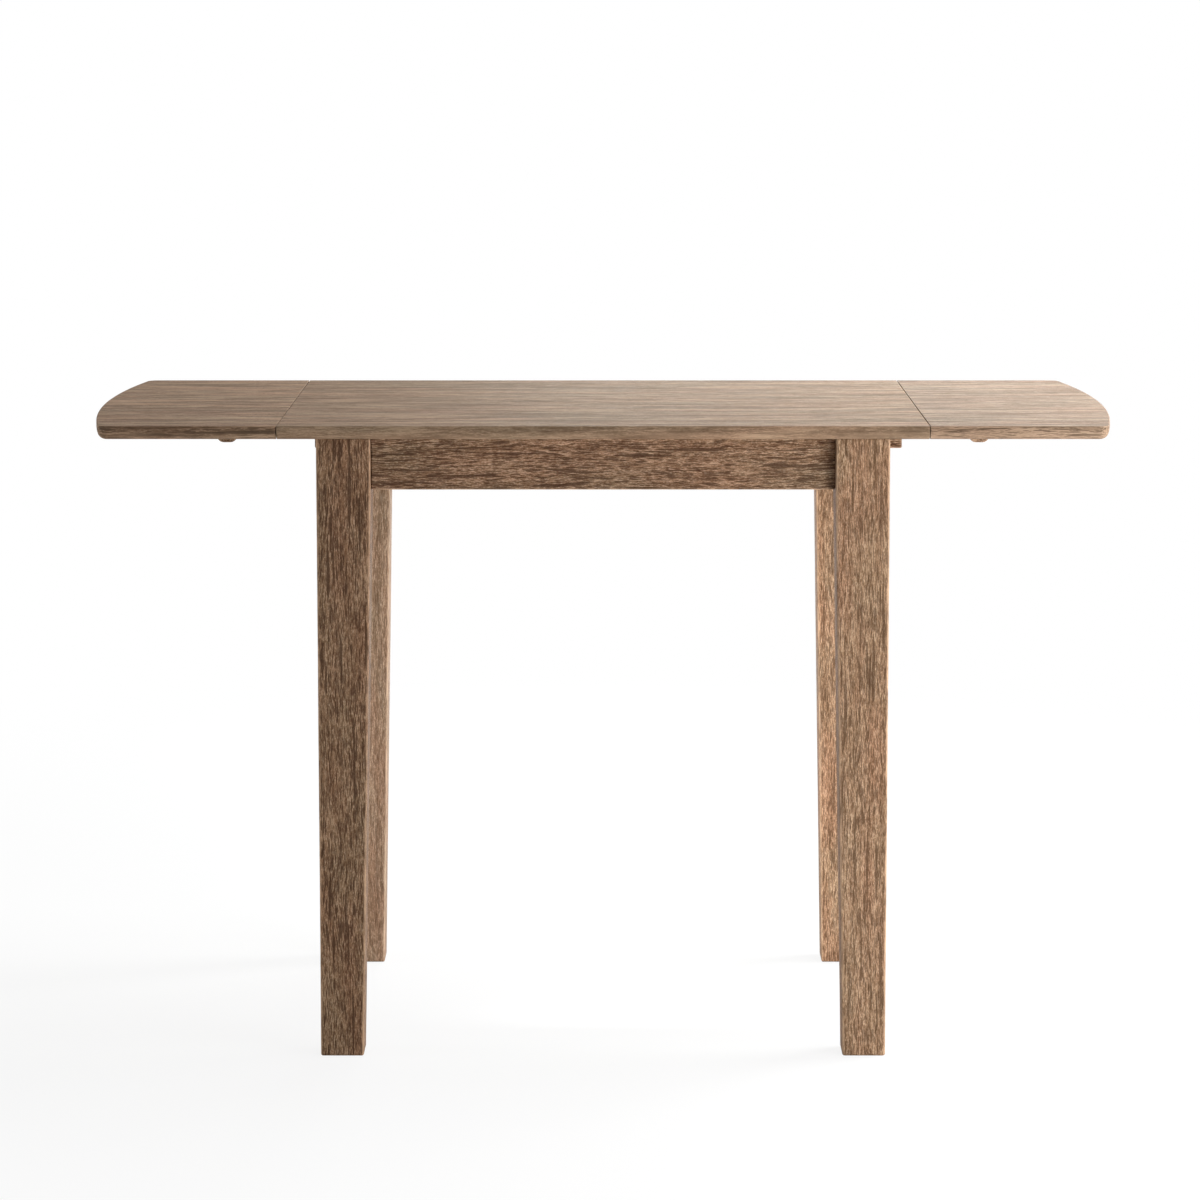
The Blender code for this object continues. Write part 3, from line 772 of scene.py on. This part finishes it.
def leaf_outline(inset, width, half, settings, bow_steps=48, fillet_steps=12):
    """A leaf's outline drawn in by inset: straight at the seam, bowed at its far end.

    The bow is a circle through the two far corners and the crown, joined to the long edges by
    fillets; both keep their centres as the outline is drawn in.
    """
    bow_radius = (half ** 2 + settings.bow ** 2) / (2 * settings.bow)
    bow_x = width - bow_radius
    fillet_y = half - settings.corner
    fillet_x = bow_x + math.sqrt((bow_radius - settings.corner) ** 2 - fillet_y ** 2)
    turn = math.atan2(fillet_y, fillet_x - bow_x)
    front = arc((fillet_x, -fillet_y), settings.corner - inset, -QUARTER, -turn, fillet_steps)
    bow = arc((bow_x, 0.0), bow_radius - inset, -turn, turn, bow_steps)
    back = arc((fillet_x, fillet_y), settings.corner - inset, turn, QUARTER, fillet_steps)
    return np.concatenate(([(0.0, inset - half)], front, bow[1:-1], back, [(0.0, half - inset)]))


def leaf_shape(side, settings):
    """A leaf: rings of its outline, drawn in by the edge profile and eased along the seam."""
    low, high = node_box(f"{side}_leaf")
    thickness = high[2] - low[2]
    profile = edge_profile(thickness, settings)
    width, half = high[0] - low[0], (high[1] - low[1]) / 2
    sign = 1 if side == "right" else -1
    start = low[0] if side == "right" else high[0]
    rings = []
    for inset, height in profile:
        outline = leaf_outline(inset, width, half, settings)
        to_face = min(height, thickness - height)
        seam = settings.seam_ease - math.sqrt(
            max(0.0, settings.seam_ease ** 2 - max(0.0, settings.seam_ease - to_face) ** 2))
        outline[:, 0] = np.maximum(outline[:, 0], seam)
        place = np.full(len(outline), low[2] + height)
        rings.append(np.stack((start + sign * outline[:, 0], outline[:, 1], place), 1))
    edge = np.repeat(profile_edge(profile, thickness), len(rings[0]))
    return skin(np.array(rings)), edge


def leg_shape(corner, settings, seed, count=120):
    """A leg: a rounded square carried up Z, tapered on its two inner faces below the apron.

    The edges were eased by hand, so their radii wander along the leg, and the faces wave a little.
    """
    low, high = node_box(f"{corner}_leg")
    taper_top = node_box("front_apron")[0][2] - settings.taper_drop
    places, inset = eased_stations(low[2], high[2], settings.leg_edge, count)
    size = high[0] - low[0]
    shrink = (size - settings.foot) * np.clip((taper_top - places) / (taper_top - low[2]), 0, 1)
    wave = LEG_WAVE * drifts(places, seed, WAVE_PACE)
    outward = np.sign((low + high)[:2])
    inner_low = np.where(outward > 0, 1, 0)
    side_low = low[:2] + inset[:, None] + shrink[:, None] * inner_low + wave[:, :2]
    side_high = high[:2] - inset[:, None] - shrink[:, None] * (1 - inner_low) + wave[:, 2:]
    wander = 1 + LEG_WANDER * drifts(places, seed + WANDER_SEED, WANDER_PACE)
    radius = np.maximum(settings.leg_edge * wander - END_SHRINK * inset[:, None], LEAST_LEG_RADIUS)
    sections, edge = rounded_sections(side_low, side_high, radius)
    return skin(set_along(sections, places, "Z")), np.tile(edge, len(places))


def eased_bar(low, high, axis, places, inset, radii):
    """A bar over a box along X, Y or Z, drawn in at its ends, where its four edge radii shrink too."""
    across = [k for k, letter in enumerate("XYZ") if letter != axis]
    inset = inset[:, None]
    radii = np.maximum(radii - END_SHRINK * inset, LEAST_RADIUS)
    sections, edge = rounded_sections(low[across] + inset, high[across] - inset, radii)
    return skin(set_along(sections, places, axis)), np.tile(edge, len(places))


def bar_shape(node, axis, radius, seed, count=60):
    """A straight bar with eased, wandering edges, filling its node's box along X, Y or Z."""
    low, high = node_box(node)
    along = "XYZ".index(axis)
    places, inset = eased_stations(low[along], high[along], radius, count)
    wander = 1 + BAR_WANDER * drifts(places, seed, WANDER_PACE)
    return eased_bar(low, high, axis, places, inset, radius * wander)


def stop_shape(node, settings):
    """A leaf's stop: a block carried along Y, rounded at its two lower edges."""
    low, high = node_box(node)
    places, inset = eased_stations(low[1], high[1], settings.ease, count=8)
    radii = np.array((settings.ease, settings.ease, settings.stop_round, settings.stop_round))
    return eased_bar(low, high, "Y", places, inset, radii)


def filleted(corners, radius, inset, steps=4):
    """An outline with its inside on the left, drawn in by inset, with arcs at its corners.

    An arc keeps its centre as the outline is drawn in, so it shrinks at a corner that points
    out and grows at one that points in.
    """
    into = corners - np.roll(corners, 1, 0)
    into /= np.linalg.norm(into, axis=1)[:, None]
    onward = np.roll(into, -1, 0)
    turn = np.arctan2(into[:, 0] * onward[:, 1] - into[:, 1] * onward[:, 0], (into * onward).sum(1))
    side = np.sign(turn)[:, None]
    left = np.stack((-into[:, 1], into[:, 0]), 1)
    centre = corners - into * radius * np.tan(np.abs(turn) / 2)[:, None] + left * side * radius
    start = np.arctan2(-side[:, 0] * left[:, 1], -side[:, 0] * left[:, 0])
    angles = start[:, None] + turn[:, None] * np.linspace(0, 1, steps)
    bend = (radius - side * inset)[:, :, None] * np.stack((np.cos(angles), np.sin(angles)), -1)
    return (centre[:, None] + bend).reshape(-1, 2)


def plate_shape(corners, low, high, axis, ease):
    """A flat piece: an outline carried along X, Y or Z and drawn in at both faces to ease its edges."""
    inset, depth = end_ease(ease)
    insets = np.concatenate(([ease + SUPPORT], inset, inset[::-1], [ease + SUPPORT]))
    places = np.concatenate(([low], low + depth, high - depth[::-1], [high]))
    corners = np.array(corners, float)
    rings = np.stack([filleted(corners, ease + 2 * SUPPORT, amount) for amount in insets])
    rubbed = np.where((insets > TINY) & (insets < ease - TINY), 1.0, 0.0)
    return skin(set_along(rings, places, axis)), np.repeat(rubbed, rings.shape[1])


def end_apron_shape(side, frame_settings, settings):
    """An end apron: its outline in Y and Z, notched for the two sliding supports, carried along X."""
    low, high = node_box(f"{side}_apron")
    bar_low = node_box(f"back_{side}_loper")[0]
    notch, floor = bar_low[1:] - settings.clearance
    half = high[1]
    outline = ((-half, low[2]), (half, low[2]), (half, floor), (notch, floor), (notch, high[2]),
               (-notch, high[2]), (-notch, floor), (-half, floor))
    return plate_shape(outline, low[0], high[0], "X", frame_settings.apron_edge)


def keeper_shape(corner, settings):
    """A keeper: a U in Y and Z carried along X."""
    low, high = node_box(f"{corner}_loper_keeper")
    (left, bottom), (right, top) = low[1:], high[1:]
    wall, floor = settings.keeper_wall, bottom + settings.keeper_floor
    outline = ((left, bottom), (right, bottom), (right, top), (right - wall, top), (right - wall, floor),
               (left + wall, floor), (left + wall, top), (left, top))
    return plate_shape(outline, low[0], high[0], "X", settings.ease)


def corner_signs(corner):
    """Which way a corner lies from the middle, in X and Y."""
    end, side = corner.split("_")
    return np.array((1.0 if side == "right" else -1.0, 1.0 if end == "back" else -1.0))


def outer_and_inner(node, signs):
    """A corner piece's box in X and Y, from the corner of the table inwards."""
    low, high = (corner[:2] for corner in node_box(node))
    return np.where(signs > 0, high, low), np.where(signs > 0, low, high)


def block_shape(corner, settings):
    """A corner block: a strip across the corner at 45 degrees, carried up Z."""
    node, signs = f"{corner}_corner_block", corner_signs(corner)
    outer, inner = outer_and_inner(node, signs)
    low, high = node_box(node)
    far = abs(inner[0] - outer[0])
    near = far - math.sqrt(2) * settings.block
    outline = np.array(((near, 0.0), (far, 0.0), (0.0, far), (0.0, near)))
    (vertices, faces), edge = plate_shape(outline, low[2], high[2], "Z", settings.ease)
    vertices[:, :2] = outer - signs * vertices[:, :2]
    if signs.prod() < 0:
        faces = [face[::-1] for face in faces]
    return (vertices, faces), edge


def turned(points, origin, along):
    """Points about Z set on a line: Z goes along it from the origin."""
    z = np.array(along) / np.linalg.norm(along)
    x = np.cross(z, (0.0, 1.0, 0.0))
    x /= np.linalg.norm(x)
    return points @ np.stack((x, np.cross(z, x), z)) + origin


def polar(radius, height, turns):
    """Points about Z, one ring for each row of radii and heights."""
    radius, height, turns = np.broadcast_arrays(radius, height, turns)
    return np.stack((radius * np.cos(turns), radius * np.sin(turns), height), -1)


def slot_depth(across, along):
    """1 in a straight slot and 0 beside it, with soft edges, over shares of a head's radius."""
    wall = np.clip((SLOT_HALF - np.abs(across)) / SLOT_WALL + 0.5, 0, 1)
    end = np.clip((SLOT_REACH - np.abs(along)) / SLOT_END + 0.5, 0, 1)
    return wall * end


def screw_head(radius, count=48, rings=18):
    """A screw head: its height over distance and turn, a low dome with two crossed slots sunk into it."""
    turns = around(count)
    reach = np.concatenate(([1.0], np.linspace(1.0, HEAD_MIDDLE, rings)))[:, None] * np.ones(count)
    x, y = reach * np.cos(turns), reach * np.sin(turns)
    slots = np.maximum(slot_depth(x, y), slot_depth(y, x))
    height = HEAD_DOME * (1 - reach ** 2) - SLOT_SINK * slots
    height[0] = -HEAD_SKIRT
    return radius * polar(reach, height, turns)


def screws(places, along, radius):
    """Several screw heads that face one way, as a list of skins."""
    head = screw_head(radius)
    return [skin(turned(head, np.array(place), along)) for place in places]


def bolt_shape(corner, settings, count=28, steps=5):
    """A hanger bolt: its radius over the turn and the way from its free end, with a helical thread.

    The thread is a triangle wave of way / pitch - turn. A cone chamfers the free end.
    """
    node, signs = f"{corner}_leg_bolt", corner_signs(corner)
    outer, inner = outer_and_inner(node, signs)
    low, high = node_box(node)
    radius = (high[2] - low[2]) / 2
    free = np.array((*(inner + signs * radius * math.sqrt(0.5)), (low[2] + high[2]) / 2))
    length = abs(outer[0] - free[0]) * math.sqrt(2)
    turns = around(count)
    way = np.arange(0, length, settings.pitch / steps)[:, None]
    thread = np.abs(2 * ((way / settings.pitch - turns / TAU) % 1.0) - 1)
    reach = radius - np.maximum(settings.flank * thread, BOLT_CHAMFER * settings.flank - way)
    return skin(turned(polar(reach, way, turns), free, (*signs, 0.0)))


def nut_shape(corner, settings, count=72):
    """A nut: a hexagon's radius over the turn, cut by a cone at both faces, round a bore."""
    low, high = node_box(f"{corner}_leg_nut")
    half = settings.nut_height / 2
    turns, sixth = around(count), TAU / 6
    hexagon = settings.nut / np.cos((turns + sixth / 2) % sixth - sixth / 2)
    height = half * np.concatenate((-NUT_STATIONS[::-1], NUT_STATIONS))[:, None]
    outside = np.minimum(hexagon, NUT_FACE * settings.nut + NUT_SLOPE * (half - np.abs(height)))
    inside = np.full(outside.shape, settings.bore)
    ring = polar(np.concatenate((outside, inside)), np.concatenate((height, height[::-1])), turns)
    return skin(turned(ring, (low + high) / 2, (*corner_signs(corner), 0.0)), closed=True)


def washer_shape(corner, settings, count=48, steps=4):
    """A washer: a rounded oblong turned about the bolt."""
    low, high = node_box(f"{corner}_leg_washer")
    half = settings.washer_height / 2
    inner, outer = np.array(((settings.bore, -half),)), np.array(((settings.washer, half),))
    (section,), _ = rounded_sections(inner, outer, np.full((1, 4), LEAST_RADIUS), steps)
    ring = polar(section[:, :1], section[:, 1:], around(count))
    return skin(turned(ring, (low + high) / 2, (*corner_signs(corner), 0.0)), closed=True)


def peg_shape(corner, settings, count=32):
    """A tail peg: a round bar up Z with a rounded lower end."""
    low, high = node_box(f"{corner}_loper_peg")
    radius = (high[0] - low[0]) / 2
    inset, depth = end_ease(settings.ease)
    reach = np.concatenate((radius - inset, [radius, radius]))[:, None]
    height = np.concatenate((low[2] + depth, [low[2] + 2 * settings.ease, high[2]]))[:, None]
    middle = np.array((*(low + high)[:2] / 2, 0.0))
    return skin(polar(reach, height, around(count)) + middle)


def plate_screws(corner, part, settings):
    """Three screw heads under a hinge plate, two of them near its free edge."""
    low, high = node_box(f"{corner}_hinge_{part}")
    outward = corner_signs(corner)[0] * (1 if part == "leaf_plate" else -1)
    free = high[0] if outward > 0 else low[0]
    middle, below = (low[1] + high[1]) / 2, high[2] - settings.plate
    places = [(free - outward * back, middle + aside, below) for back, aside in HINGE_SCREWS]
    return screws(places, DOWN, settings.screw)


def keeper_screws(corner, settings, wall):
    """A screw head under each side of a keeper."""
    low, high = node_box(f"{corner}_loper_keeper")
    middle = (low[0] + high[0]) / 2
    places = [(middle, y, low[2]) for y in (low[1] + wall / 2, high[1] - wall / 2)]
    return screws(places, DOWN, settings.screw)


def cleat_screws(end, settings, count=3):
    """Screw heads spaced evenly under a cleat."""
    low, high = node_box(f"{end}_cleat")
    middle = (low[1] + high[1]) / 2
    spots = low[0] + (high[0] - low[0]) * (np.arange(count) + 0.5) / count
    places = [(x, middle, low[2]) for x in spots]
    return screws(places, DOWN, settings.screw)


def block_screws(corner, settings):
    """Two screw heads on the slanting face of a corner block, one on each side of its bolt."""
    node, signs = f"{corner}_corner_block", corner_signs(corner)
    outer, inner = outer_and_inner(node, signs)
    low, high = node_box(node)
    ends = np.array(((inner[0], outer[1]), (outer[0], inner[1])))
    spots = ends[0] + np.outer(BLOCK_SCREWS, ends[1] - ends[0])
    places = [(*spot, (low[2] + high[2]) / 2) for spot in spots]
    return screws(places, (*-signs, 0.0), settings.screw)


class TABLE_OT_finishes(Operator):
    """Build the shared wood grain and edge wear"""

    bl_idname = "table.finishes"
    bl_label = "Finishes"

    def execute(self, context):
        """Make the shader groups once."""
        make_open_grain()
        make_edge_wear()
        return {"FINISHED"}


class TABLE_OT_panels(Operator):
    """Build the centre panel and the two leaves"""

    bl_idname = "table.panels"
    bl_label = "Top and leaves"

    def execute(self, context):
        """Dress each panel in boards of its own."""
        settings = context.scene.table_panels
        shape, edge = centre_shape(settings)
        wood = wood_material("centre_board", "X", place=(0.31, 0.17, 0.4), look=top_look())
        add_piece("centre_panel", shape, "frame", wood, ["centre_top"], edge)
        for k, side in enumerate(SIDES):
            shape, edge = leaf_shape(side, settings)
            wood = wood_material(f"{side}_leaf_board", "X", place=(1.7 + k, 0.9 - k, 2.3 * k),
                                 look=top_look(**LEAF_STAIN_AND_LIGHT[side]))
            add_piece(f"{side}_leaf_panel", shape, f"{side}_leaf", wood, [f"{side}_leaf"], edge)
        return {"FINISHED"}


class TABLE_OT_legs(Operator):
    """Build the four tapered legs"""

    bl_idname = "table.legs"
    bl_label = "Legs"

    def execute(self, context):
        """Cut each leg from its own place in the log."""
        settings = context.scene.table_frame
        for k, corner in enumerate(CORNERS):
            shape, edge = leg_shape(corner, settings, LEG_SEED * (k + 1))
            wood = wood_material(f"{corner}_leg_wood", "Z", place=(0.7 * k, 1.3 * k + 0.4, 0.37 * k),
                                 look=frame_look(**LEG_STAIN_AND_LIGHT[corner]))
            add_piece(f"{corner}_tapered_leg", shape, "frame", wood, [f"{corner}_leg"], edge)
        return {"FINISHED"}


class TABLE_OT_aprons(Operator):
    """Build the aprons between the legs"""

    bl_idname = "table.aprons"
    bl_label = "Aprons"

    def execute(self, context):
        """Long bars in front and behind, and notched boards at the ends."""
        settings = context.scene.table_frame
        look = frame_look(**APRON_LOOK)
        for k, end in enumerate(ENDS):
            shape, edge = bar_shape(f"{end}_apron", "X", settings.apron_edge, APRON_SEED + SEED_STEP * k)
            wood = wood_material(f"{end}_apron_wood", "X", place=(2.1, 0.6 + k, 1.9 * k), look=look)
            add_piece(f"{end}_apron_bar", shape, "frame", wood, [f"{end}_apron"], edge)
        for k, side in enumerate(SIDES):
            shape, edge = end_apron_shape(side, settings, context.scene.table_inner)
            wood = wood_material(f"{side}_apron_wood", "Y", place=(3.3, 1.1 * k, 0.8), look=look)
            add_piece(f"{side}_apron_board", shape, "frame", wood, [f"{side}_apron"], edge)
        return {"FINISHED"}


class TABLE_OT_supports(Operator):
    """Build the sliding leaf supports and their stops"""

    bl_idname = "table.supports"
    bl_label = "Sliding supports"

    def execute(self, context):
        """Sliding bars and stops in the frame's stain, pegs and keepers in bare wood."""
        inner = context.scene.table_inner
        raw = wood_material("support_raw_wood", "X", place=(5.0, 2.0, 1.0), look=raw_look())
        upright = wood_material("peg_raw_wood", "Z", place=(6.0, 1.0, 1.0), look=raw_look())
        for k, corner in enumerate(CORNERS):
            side = corner.split("_")[1]
            loper = f"{corner}_loper"
            wood = wood_material(f"{loper}_wood", "X", place=(4.0 + k, 0.3, 0.9 * k), look=frame_look())
            shape, edge = bar_shape(loper, "X", inner.slide_edge, SLIDE_SEED + SEED_STEP * k, count=24)
            add_piece(f"{corner}_slide_bar", shape, loper, wood, [loper], edge)
            shape = peg_shape(corner, inner)
            add_piece(f"{corner}_tail_peg", shape, loper, upright, [f"{loper}_peg"])
            shape, edge = keeper_shape(corner, inner)
            add_piece(f"{corner}_keeper", shape, "frame", raw, [f"{loper}_keeper"], edge)
            shape, edge = stop_shape(f"{corner}_leaf_stop", inner)
            wood = wood_material(f"{corner}_stop_wood", "Y", place=(7.0 + k, 0.5, 1.2), look=frame_look())
            add_piece(f"{corner}_stop_block", shape, f"{side}_leaf", wood,
                      [f"{corner}_leaf_stop"], edge)
        return {"FINISHED"}


class TABLE_OT_inner(Operator):
    """Build the cleats and corner blocks"""

    bl_idname = "table.inner"
    bl_label = "Inner carpentry"

    def execute(self, context):
        """Bare planed wood under the top."""
        settings = context.scene.table_inner
        for k, end in enumerate(ENDS):
            raw = wood_material(f"{end}_cleat_wood", "X", place=(8.0, 2.0 + k, 1.0), look=raw_look())
            shape, edge = bar_shape(f"{end}_cleat", "X", settings.ease, CLEAT_SEED + SEED_STEP * k, count=20)
            add_piece(f"{end}_cleat_strip", shape, "frame", raw, [f"{end}_cleat"], edge)
        for k, corner in enumerate(CORNERS):
            raw = wood_material(f"{corner}_block_wood", "X", place=(9.0, 1.0 + k, 0.6), look=raw_look())
            shape, edge = block_shape(corner, settings)
            add_piece(f"{corner}_brace", shape, "frame", raw, [f"{corner}_corner_block"], edge)
        return {"FINISHED"}


class TABLE_OT_metal(Operator):
    """Finish the hinges, and build the leg bolts and screws"""

    bl_idname = "table.metal"
    bl_label = "Hinges and bolts"

    def execute(self, context):
        """Bronzed hinges with their screws; zinc bolts, nuts, washers and wood screws."""
        settings, wall = context.scene.table_hardware, context.scene.table_inner.keeper_wall
        bronze = steel_material("hinge_plate_steel", **BRONZE)
        zinc = steel_material("zinc_steel", **ZINC)
        fixed, hung, joinery = [], {side: [] for side in SIDES}, []
        for corner in CORNERS:
            for part in ("hinge_top_plate", "hinge_leaf_plate", "hinge_pin"):
                dress(f"{corner}_{part}", bronze)
            fixed += plate_screws(corner, "top_plate", settings)
            hung[corner.split("_")[1]] += plate_screws(corner, "leaf_plate", settings)
            joinery += keeper_screws(corner, settings, wall) + block_screws(corner, settings)
            for part, name, build in (("leg_bolt", "threaded_bolt", bolt_shape),
                                      ("leg_nut", "hexagon_nut", nut_shape),
                                      ("leg_washer", "flat_washer", washer_shape)):
                shape = build(corner, settings)
                add_piece(f"{corner}_{name}", shape, "frame", zinc, [f"{corner}_{part}"])
        for end in ENDS:
            joinery += cleat_screws(end, settings)
        add_piece("frame_hinge_screws", join(fixed), "frame", bronze)
        for side in SIDES:
            add_piece(f"{side}_leaf_hinge_screws", join(hung[side]), f"{side}_leaf", bronze)
        add_piece("joinery_screws", join(joinery), "frame", zinc)
        return {"FINISHED"}


def add_area_light(name, lamp, power):
    """A soft light, given by its width and height, aimed at a point."""
    light = bpy.data.lights.new(name, "AREA")
    light.shape = "RECTANGLE"
    light.size, light.size_y = lamp.size
    light.energy, light.color = power, lamp.colour
    holder = new_object(name, light)
    holder.location = lamp.place
    x, y, z = np.subtract(lamp.target, lamp.place)
    holder.rotation_euler = (math.atan2(math.hypot(x, y), -z), 0.0, math.atan2(-x, y))
    holder.visible_camera = False


def seen_directly(tree):
    """1 for rays from the camera, from gloss and through glass, 0 for diffuse light."""
    path = new_node(tree, "ShaderNodeLightPath")
    gloss = maths(tree, "MAXIMUM", path.outputs["Is Camera Ray"], path.outputs["Is Glossy Ray"])
    return maths(tree, "MAXIMUM", gloss, path.outputs["Is Transmission Ray"])


class TABLE_OT_stage(Operator):
    """Build the floor, light and camera"""

    bl_idname = "table.stage"
    bl_label = "Stage"

    def execute(self, context):
        """White studio, light from the right, and the photograph's viewing angle."""
        settings = context.scene.table_stage
        self.floor()
        self.world(settings)
        for name, lamp in LAMPS.items():
            add_area_light(name, lamp, getattr(settings, name))
        self.camera(settings)
        context.scene.view_settings.view_transform = "Standard"
        return {"FINISHED"}

    def floor(self):
        """A wide pale floor that shows white and keeps a faint shadow."""
        reach = FLOOR_REACH
        corners = [(-reach, -reach, 0), (reach, -reach, 0), (reach, reach, 0), (-reach, reach, 0)]
        mesh = bpy.data.meshes.new("floor")
        mesh.from_pydata(corners, [], [(0, 1, 2, 3)])
        material, tree, shader = new_material("floor")
        shader.inputs["Base Color"].default_value = opaque(FLOOR_GREY)
        shader.inputs["Roughness"].default_value = FLOOR_ROUGHNESS
        white = new_node(tree, "ShaderNodeEmission")
        blend = new_node(tree, "ShaderNodeMixShader")
        place = new_node(tree, "ShaderNodeNewGeometry")
        away = new_node(tree, "ShaderNodeVectorMath", operation="LENGTH")
        feed(tree, away.inputs[0], place.outputs["Position"])
        share = spread(tree, away.outputs["Value"], *FLOOR_FADE, start=FLOOR_WHITE)
        feed(tree, blend.inputs[0], maths(tree, "MULTIPLY", seen_directly(tree), share))
        feed(tree, blend.inputs[1], shader.outputs[0])
        feed(tree, blend.inputs[2], white.outputs[0])
        feed(tree, tree.nodes["Material Output"].inputs[0], blend.outputs[0])
        mesh.materials.append(material)
        floor = new_object("floor", mesh)

    def world(self, settings):
        """White where it is seen, and an even fill for the rest."""
        world = bpy.data.worlds.new("studio")
        bpy.context.scene.world = world
        world.use_nodes = True
        tree = world.node_tree
        background = tree.nodes["Background"]
        background.inputs["Color"].default_value = opaque(WHITE)
        strength = maths(tree, "MULTIPLY", seen_directly(tree), 1.0 - settings.fill)
        feed(tree, background.inputs["Strength"], maths(tree, "ADD", strength, settings.fill))

    def camera(self, settings):
        """A long lens in front of the table, looking slightly down."""
        camera = bpy.data.cameras.new("camera")
        camera.lens = settings.lens
        camera.shift_x = settings.offset
        viewer = new_object("camera", camera)
        viewer.location = (0.0, CAD_BOX[0][1] - settings.distance, settings.height)
        viewer.rotation_euler = (QUARTER - settings.pitch, 0.0, 0.0)
        bpy.context.scene.camera = viewer


class TABLE_PT_sidebar(Panel):
    """Lists the table's pieces"""

    bl_label = "Drop-leaf table"
    bl_idname = "TABLE_PT_sidebar"
    bl_space_type = "VIEW_3D"
    bl_region_type = "UI"
    bl_category = "Table"

    def draw(self, context):
        """One button for each operator."""
        for operator in OPERATORS:
            self.layout.operator(operator.bl_idname)


SETTINGS = {"table_panels": PanelSettings, "table_frame": FrameSettings, "table_inner": InnerSettings,
            "table_hardware": HardwareSettings, "table_stage": StageSettings}
OPERATORS = (TABLE_OT_finishes, TABLE_OT_panels, TABLE_OT_legs, TABLE_OT_aprons, TABLE_OT_supports,
             TABLE_OT_inner, TABLE_OT_metal, TABLE_OT_stage)


def register():
    """Register the settings, operators and panel."""
    for cls in (*SETTINGS.values(), *OPERATORS, TABLE_PT_sidebar):
        bpy.utils.register_class(cls)
    for name, cls in SETTINGS.items():
        setattr(bpy.types.Scene, name, PointerProperty(type=cls))


def unregister():
    """Take them away again."""
    for name in SETTINGS:
        delattr(bpy.types.Scene, name)
    for cls in reversed((*SETTINGS.values(), *OPERATORS, TABLE_PT_sidebar)):
        bpy.utils.unregister_class(cls)


def main():
    """Build everything in order."""
    register()
    for operator in OPERATORS:
        group, name = operator.bl_idname.split(".")
        getattr(getattr(bpy.ops, group), name)()


if __name__ == "__main__":
    main()
